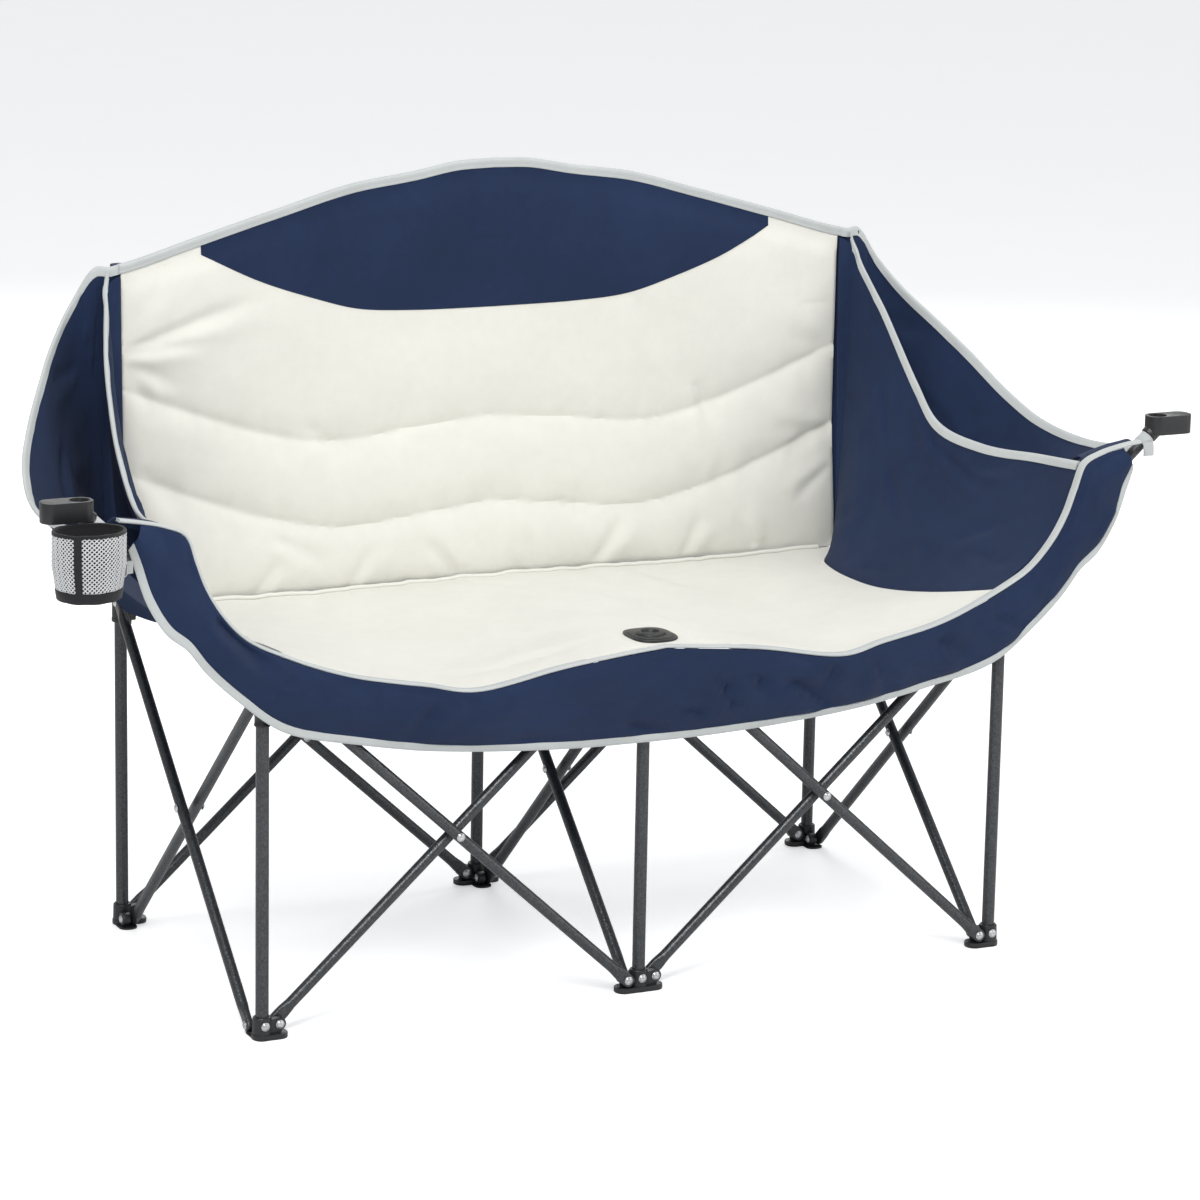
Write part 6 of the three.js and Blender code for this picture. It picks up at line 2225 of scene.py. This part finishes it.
@dataclass
class Front:
    """The apron under the seat's front edge, and the tapes along its edges."""

    bulge: float = 8.0
    columns: int = 44
    steps: int = 8
    seams: tuple[float, ...] = (-432.0, 545.0)
    creases: tuple[Crease, ...] = folds(
        (82, 400, 108, 352, 3.4, 8), (130, 405, 150, 362, 3.2, 8), (186, 388, 255, 338, 3.6, 9),
        (45, 365, 70, 352, 2.6, 7), (70, 330, 102, 322, 2.4, 7), (-30, 352, 20, 325, 2.8, 9),
        (-170, 345, -110, 322, 2.6, 10), (395, 420, 445, 395, 3.0, 10), (655, 560, 635, 515, 4.5, 8),
        (-560, 520, -500, 460, 3.0, 10), (300, 400, 330, 350, 2.4, 10), (-300, 400, -330, 350, 2.6, 11),
        (480, 440, 540, 420, 2.4, 9), (240, 415, 215, 370, 2.4, 8),
    )

    def apron(self, shop: Workshop) -> None:
        """Makes the apron and its two joining seams."""
        top = both_halves(through(FRONT_EDGE[: len(RIM)], self.steps))
        rim = both_halves(through(RIM, self.steps))
        upper = inward(top, rim, 2.5) + np.array([0, 1.2, 0])
        lower = inward(rim, top, 6.0)
        out = np.tile(-Y_AXIS, (len(top), 1))
        grid = hung(lower, upper, self.columns, np.full(len(top), self.bulge), out)
        x, z = grid[:, :, 0], grid[:, :, 2]
        noise = Noise(29)
        v = np.linspace(0, 1, self.columns + 1)[None, :]
        border = smooth(v / 0.16) * smooth((1 - v) / 0.14)
        wave = 5.5 * noise.layered(x / 95.0, z / 60.0, 3) + 2.4 * noise.layered(x / 34.0 + z / 60.0, z / 40.0, 2)
        wave = wave + 3.0 * noise.layered(x / 17.0 + 7, z / 90.0, 2) * smooth((v - 0.55) / 0.3)
        sway = 1.2 * noise.layered(x / 30.0, z * 0, 2) * smooth((1 - v) / 0.05) * (v > 0.5)
        push = (wave + 2.6 * pressed(self.creases, x, z)) * border + sway
        grid = grid + np.dstack([x * 0, push, x * 0])
        for seam in self.seams:
            grid[:, :, 1] += 1.3 * np.exp(-((self.from_seam(grid, seam) / 4.0) ** 2))
        outer = grid - Y_AXIS * CLOTH
        work = FabricPiece("apron_skin", ("front_apron",), "navy_fabric", FRONT_RIDE)
        piece = work.make(shop, two_faced(outer, grid, ROUND_RIM), shop.wear.navy)
        ClothFacts.of(outer).declare(piece, "hung", ["front_binding_skin"])
        Binding(
            "rim_binding_skin", ("rim_binding",), rim, inward(rim, top, TAPE_WIDTH), FRONT_RIDE, 43,
            half_thickness=1.7, wave=0.4, faces=(outer[:, ::-1], grid[:, ::-1]),
        ).dress(shop)
        rows = []
        for seam in self.seams:
            nearest = np.abs(self.from_seam(outer, seam)).argmin(axis=0)
            rows.append(np.array([outer[nearest[c], c] for c in range(2, self.columns - 2)]) - Y_AXIS * 0.2)
        lines = [self.evened(row) for row in rows]
        sew(shop, "apron_thread", lines, shop.wear.navy_thread, "navy_fabric", FRONT_RIDE)

    @staticmethod
    def from_seam(grid: np.ndarray, seam: float) -> np.ndarray:
        """How far points lie beside a joining seam, which leans outwards as it rises."""
        return grid[:, :, 0] - seam - (grid[:, :, 2] - 450.0) * 0.25

    @staticmethod
    def evened(row: np.ndarray) -> np.ndarray:
        """A line with its small steps smoothed out."""
        kernel = np.ones(7) / 7
        padded_row = np.vstack([row[:1].repeat(3, 0), row, row[-1:].repeat(3, 0)])
        return np.column_stack([np.convolve(padded_row[:, k], kernel, "valid") for k in range(3)])

    def dress(self, shop: Workshop) -> None:
        """Makes the apron and both tapes."""
        edge = both_halves(through(FRONT_EDGE, 10))
        inner = edge + Y_AXIS * TAPE_WIDTH
        Binding("front_binding_skin", ("front_binding",), edge, inner, FRONT_RIDE, 37).dress(shop)
        self.apron(shop)


# The cup holder and the webbing


@dataclass
class CupHolder:
    """The oval net bag under the left arm, with its tapes and straps."""

    x: float = -732.0
    y: float = -56.0
    half_width: float = 42.0
    half_depth: float = 34.0
    bottom: float = 574.0
    top: float = 652.0
    foot_share: float = 0.86
    band: float = 11.0
    pitch: float = 5.0
    round_it: float = 240.0
    points: int = 96

    def wall(self, turn: np.ndarray, z: np.ndarray, proud: float = 0.0) -> np.ndarray:
        """Points on the bag's wall, at angles and heights."""
        risen = np.minimum(2 * (z - self.bottom) / (self.top - self.bottom), 1)
        share = self.foot_share + (1 - self.foot_share) * risen
        sag = 1.3 * np.sin(3 * turn + 0.6) * smooth((self.top - z) / 50.0)
        wide, deep = self.half_width * share + proud + sag, self.half_depth * share + proud + sag
        return np.stack([self.x + wide * np.cos(turn), self.y + deep * np.sin(turn), z + 0 * turn], -1)

    def carry(self, piece: bpy.types.Object, slot: str, *nodes: str) -> bpy.types.Object:
        """Puts a piece on the holder's body."""
        return carried(piece, "cup_holder", slot, *nodes)

    def bag(self, shop: Workshop) -> None:
        """Makes the knitted liner of the bag with its floor."""
        turn = circle(self.points)
        heights = np.linspace(self.bottom, self.top, 20)
        rings = [self.wall(turn, np.full_like(turn, z), -0.5) for z in heights]
        floor = [self.squeezed(rings[0], share, self.bottom) for share in (0.3, 0.75)]
        inside = [self.wall(turn, np.full_like(turn, max(z, self.bottom + 1.6)), -1.7) for z in heights[::-1]]
        inner_floor = [self.squeezed(inside[-1], share, self.bottom + 1.6) for share in (0.75, 0.3)]
        sections = np.array(floor + rings + inside + inner_floor)
        travel = np.arange(len(sections)) * 4.0
        girth = np.linspace(0, self.round_it, len(turn) + 1)
        piece = shop.maker.make("cup_net_skin", strip(sections, travel, girth), shop.wear.net_dark, 60)
        self.carry(piece, "mesh_net", "cup_net")

    def squeezed(self, ring: np.ndarray, share: float, level: float) -> np.ndarray:
        """A ring drawn in towards the holder's axis at a level."""
        centre = np.array([self.x, self.y, level])
        return centre + (ring - centre) * share * np.array([1, 1, 0])

    def strands(self, shop: Workshop) -> None:
        """Makes the light diagonal strands that lie on the bag."""
        around = 2 * math.pi * math.hypot(self.half_width, self.half_depth) / math.sqrt(2)
        count = int(around / self.pitch)
        for word, way in (("rising", 1), ("falling", -1)):
            lines = []
            for k in range(count):
                z = np.linspace(self.bottom + 2, self.top - 1, 40)
                turn = 2 * math.pi * k / count + way * (z - self.bottom) / around * 2 * math.pi
                weave = 0.45 * np.sin(z * math.pi / self.pitch + k * math.pi + (0 if way > 0 else math.pi))
                lines.append(self.wall(turn, z) + self.outward(turn) * (weave[:, None] + 0.1))
            radius = 0.85 if way > 0 else 0.75
            piece = shop.threads(f"cup_net_{word}", lines, shop.wear.net_light, radius)
            self.carry(piece, "mesh_net")

    @staticmethod
    def outward(turn: np.ndarray) -> np.ndarray:
        """Ways out from the bag's axis."""
        return np.stack([np.cos(turn), np.sin(turn), 0 * turn], -1)

    def band_round(
        self, shop: Workshop, name: str, low: float, high: float, proud: float, nodes: Sequence[str] = ()
    ) -> None:
        """Makes a tape round the bag between two heights."""
        turn = circle(self.points)
        noise = Noise(77)
        sway = noise.layered(turn * 3, turn * 0, 2) * 0.6
        profile = [
            (low, -0.2), (low - 0.4, proud * 0.6), (low + 0.8, proud),
            (high - 0.8, proud), (high + 0.3, proud * 0.6), (high, -0.2),
        ]
        rings = [self.wall(turn, z + sway, out) for z, out in profile]
        rings += [self.wall(turn, z + sway, -2.0) for z in (high, low)]
        rings.append(rings[0])
        sections = np.array(rings)
        travel = np.array([0, 1, 2, 10, 11, 12, 14, 24, 26.0])
        girth = np.linspace(0, self.round_it, len(turn) + 1)
        piece = shop.maker.make(name, strip(sections, travel, girth, closed_ends=False), shop.wear.black_tape, 60)
        self.carry(piece, "black_tape", *nodes)

    def upright_tape(self, shop: Workshop, name: str, middle: float) -> None:
        """Makes a tape that runs down the bag's wall."""
        z = np.linspace(self.bottom, self.top, 24)
        half = 4.6 / self.half_width
        rows = []
        for level in z:
            turn = np.linspace(middle - half, middle + half, 7)
            outer = self.wall(turn, np.full_like(turn, level), 1.6)
            inner = self.wall(turn, np.full_like(turn, level), -0.2)
            rows.append(np.vstack([outer, inner[::-1]]))
        sections = np.array(rows)
        girth = np.linspace(0, 20, sections.shape[1] + 1)
        piece = shop.maker.make(name, strip(sections, z - self.bottom, girth), shop.wear.black_tape, 60)
        self.carry(piece, "black_tape")

    def dress(self, shop: Workshop) -> None:
        """Makes the whole holder."""
        self.bag(shop)
        self.strands(shop)
        self.band_round(shop, "cup_foot_tape", self.bottom - 1.2, self.bottom + self.band, 1.9, ("cup_trim",))
        self.band_round(shop, "cup_rim_tape", self.top - 3, self.top + 0.6, 1.3)
        for name, turn in (("cup_tape_front", -2.15), ("cup_tape_back", 1.0)):
            self.upright_tape(shop, name, turn)
        LOG.info("cup holder")


@dataclass
class Webbing:
    """The straps round the arm tubes and the strap that steadies the cup holder."""

    width: float = 15.0
    thickness: float = 1.7
    tube: float = 7.0
    socket: float = 17.5
    seam: float = 0.9
    strap_start: tuple[float, float, float] = (-668.0, -22.6, 597.4)
    strap_end: float = -734.0
    buckle_middle: tuple[float, float, float] = (-683.0, -24.6, 596.4)

    def ribbon(self, line: np.ndarray, across: np.ndarray, flat: np.ndarray) -> Shape:
        """A flat strap along a line.

        Args:
            line: Its middle line.
            across: The way of its width, for each point.
            flat: The way of its thickness, for each point.

        Returns:
            The shape.
        """
        w, t = self.width / 2, self.thickness / 2
        half = [(-w, -t * 0.4), (-w + 0.7, -t), (0, -t), (w - 0.7, -t), (w, -t * 0.4)]
        outline = half + [(a, -b) for a, b in reversed(half)]
        rows = np.array([[line[i] + across[i] * a + flat[i] * b for a, b in outline] for i in range(len(line))])
        return strip(rows, path_lengths(line), ring_lengths(rows[0]))

    def arm(self, shop: Workshop, side: Side, drop: float) -> None:
        """Makes the loop round one arm tube and its tail."""
        slope = LAYOUT.slope
        along = LAYOUT.arm_reach - self.socket - self.width / 2 - self.seam
        layer = LAYOUT.layer * side.value
        middle = np.array([LAYOUT.bay - LAYOUT.inset, 0, LAYOUT.hub_pivot]) + slope * along
        middle = middle * np.array([side.value, 1, 1]) + np.array([0, layer, 0])
        way = slope * np.array([side.value, 1, 1])
        up = unit(np.cross(way, Y_AXIS)) * side.value
        radius = self.tube + self.seam + self.thickness / 2
        turn = np.linspace(0, 2 * math.pi, 41)
        ring = np.array([middle + radius * (np.cos(t) * up - np.sin(t) * Y_AXIS) for t in turn])
        out = unit(ring - middle)
        shape = self.ribbon(ring, np.tile(way, (41, 1)), out)
        start = middle - Y_AXIS * (radius + self.thickness)
        span = np.linspace(0, 1, 14)
        tail = np.array([start + np.array([0, -2.2 * math.sin(math.pi * s * 0.6), -drop * s]) for s in span])
        shape.add(self.ribbon(tail, np.tile(X_AXIS, (14, 1)), np.tile(-Y_AXIS, (14, 1))))
        name = f"arm_strap_{side.word}"
        piece = shop.maker.make(name + "_skin", shape, shop.wear.webbing, 50)
        carried(piece, f"front_arm_{side.word}", "grey_webbing", name)

    def steady(self, shop: Workshop) -> None:
        """Makes the strap from the shell's rim to the cup holder, with its buckle."""
        span = np.linspace(0, 1, 30)
        x, y, z = self.strap_start
        x = x + (self.strap_end - x) * span
        y = y - 1.2 * np.sin(math.pi * span)
        z = z - 1.6 * np.sin(math.pi * span)
        line = np.column_stack([x, y, z])
        shape = self.ribbon(line, np.tile(Z_AXIS, (30, 1)), np.tile(-Y_AXIS, (30, 1)))
        piece = shop.maker.make("cup_strap_skin", shape, shop.wear.webbing, 50)
        carried(piece, "cup_holder", "grey_webbing", "cup_strap")
        self.buckle(shop)

    def buckle(self, shop: Workshop) -> None:
        """Makes the small wire buckle on the strap."""
        turn = circle(40)
        wide, high = 7.0 * squared(np.cos(turn), 0.55), 9.6 * squared(np.sin(turn), 0.55)
        x, y, z = self.buckle_middle
        path = np.column_stack([wide + x, np.full(40, y), high + z])
        ahead = unit(np.roll(path, -1, 0) - np.roll(path, 1, 0))
        out = unit(np.cross(ahead, Y_AXIS))
        wire, small = 1.1, circle(8)
        rows = [[p + wire * (math.cos(t) * o + math.sin(t) * Y_AXIS) for t in small] for p, o in zip(path, out)]
        rows = np.array([*rows, rows[0]])
        travel, girth = np.linspace(0, 60, 41), np.linspace(0, 7, 9)
        shape = strip(rows, travel, girth, closed_ends=False)
        piece = shop.maker.make("cup_strap_buckle", shape, shop.wear.zinc, 60)
        carried(piece, "cup_holder", "frame_tube")

    def dress(self, shop: Workshop) -> None:
        """Makes every strap."""
        self.arm(shop, Side.LEFT, 13.0)
        self.arm(shop, Side.RIGHT, 18.0)
        self.steady(shop)
        LOG.info("webbing")


# The studio


@dataclass
class Studio:
    """Camera, floor, light and backdrop."""

    place: tuple[float, float, float] = (-2372.5, -4838.1, 1757.8)
    yaw: float = -25.523
    pitch: float = -13.174
    roll: float = 1.082
    focal: float = 4540.15
    frame_width: float = 1200.0

    def camera(self, maker: Maker) -> None:
        """Puts the camera where the photograph was taken from."""
        yaw, pitch, roll = (math.radians(a) for a in (self.yaw, self.pitch, self.roll))
        ahead = np.array([-math.sin(yaw) * math.cos(pitch), math.cos(yaw) * math.cos(pitch), math.sin(pitch)])
        level = np.array([math.cos(yaw), math.sin(yaw), 0.0])
        above = np.cross(level, ahead)
        right = level * math.cos(roll) + above * math.sin(roll)
        up = -level * math.sin(roll) + above * math.cos(roll)
        data = bpy.data.cameras.new("camera")
        data.sensor_width, data.sensor_fit = 36.0, "HORIZONTAL"
        data.lens = self.focal / self.frame_width * data.sensor_width
        data.clip_end = 100.0
        camera = add_object("camera", data)
        turned = Matrix(np.column_stack([right, up, -ahead]).tolist()).to_4x4()
        camera.matrix_world = Matrix.Translation(Vector(maker.to_frame(np.array(self.place)))) @ turned
        bpy.context.scene.camera = camera

    def lamp(self, name: str, place: Sequence[float], aim: Sequence[float], size: float, power: float) -> None:
        """Adds one soft square lamp."""
        data = bpy.data.lights.new(name, "AREA")
        data.shape, data.size, data.energy = "SQUARE", size, power
        lamp = add_object(name, data)
        lamp.location = place
        lamp.rotation_euler = (Vector(aim) - Vector(place)).to_track_quat("-Z", "Y").to_euler()

    def floor(self) -> None:
        """Adds a wide pale floor that stays white as far as the camera sees."""
        reach = 60.0
        mesh = bpy.data.meshes.new("floor")
        corners = [(-reach, -reach, 0), (reach, -reach, 0), (reach, reach, 0), (-reach, reach, 0)]
        mesh.from_pydata(corners, [], [(0, 1, 2, 3)])
        shader = Shader("floor_white")
        grain = shader.noise(6, 3, 0.5)
        shader.feed("Base Color", shader.blend(grain, (0.9, 0.9, 0.9), (0.93, 0.93, 0.93)))
        shader.fixed(roughness=0.9, specular_ior_level=0.1)
        glow = shader.node("ShaderNodeEmission", None, {"Color": (1, 1, 1, 1), "Strength": 0.4})
        lit = shader.node("ShaderNodeAddShader", None, {0: shader.surface.outputs[0], 1: glow.outputs[0]})
        path = shader.node("ShaderNodeLightPath")
        seen = shader.node(
            "ShaderNodeMixShader", None,
            {0: path.outputs["Is Camera Ray"], 1: shader.surface.outputs[0], 2: lit.outputs[0]},
        )
        shader.tree.links.new(seen.outputs[0], shader.output.inputs["Surface"])
        mesh.materials.append(shader.material)
        floor = add_object("floor", mesh)

    def backdrop(self) -> None:
        """Sets a white background that gives even light."""
        world = bpy.data.worlds.new("studio")
        bpy.context.scene.world = world
        world.use_nodes = True
        tree = world.node_tree
        tree.nodes.clear()
        output = tree.nodes.new("ShaderNodeOutputWorld")
        seen, light = tree.nodes.new("ShaderNodeBackground"), tree.nodes.new("ShaderNodeBackground")
        seen.inputs[0].default_value, seen.inputs[1].default_value = (1, 1, 1, 1), 1.0
        light.inputs[0].default_value, light.inputs[1].default_value = (0.97, 0.985, 1.0, 1), 0.5
        path, mixed = tree.nodes.new("ShaderNodeLightPath"), tree.nodes.new("ShaderNodeMixShader")
        tree.links.new(path.outputs["Is Camera Ray"], mixed.inputs[0])
        tree.links.new(light.outputs[0], mixed.inputs[1])
        tree.links.new(seen.outputs[0], mixed.inputs[2])
        tree.links.new(mixed.outputs[0], output.inputs[0])

    def set(self, maker: Maker) -> None:
        """Sets up everything."""
        self.camera(maker)
        self.floor()
        self.backdrop()
        self.lamp("key", (-2.2, -3.2, 3.9), (0, 0, 0.5), 1.7, 165)
        self.lamp("fill", (3.6, -2.8, 1.9), (0, 0, 0.5), 2.6, 52)
        self.lamp("top", (0.6, 0.2, 3.8), (0, 0, 0.4), 2.4, 30)
        self.lamp("rim", (1.6, 3.6, 2.6), (0, 0, 0.6), 2.4, 60)
        view = bpy.context.scene.view_settings
        view.view_transform, view.look, view.exposure, view.gamma = "Standard", "None", 0.0, 1.0


def main() -> None:
    """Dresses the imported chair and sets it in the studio."""
    logging.basicConfig(level=logging.INFO, format="%(message)s")
    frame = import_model()
    low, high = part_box("front_upright_middle")
    maker = Maker(Vector(((low[0] + high[0]) / 2, (low[1] + high[1]) / 2, 0.0)))
    Studio().set(maker)
    shop = Workshop(maker, Wardrobe.sewn())
    SteelFrame().dress(shop)
    Fittings().dress(shop, frame)
    Backrest().dress(shop)
    for side in Side:
        SidePanels(side).dress(shop)
    Seat().dress(shop)
    Front().dress(shop)
    CupHolder().dress(shop)
    Webbing().dress(shop)


if __name__ == "__main__":
    main()
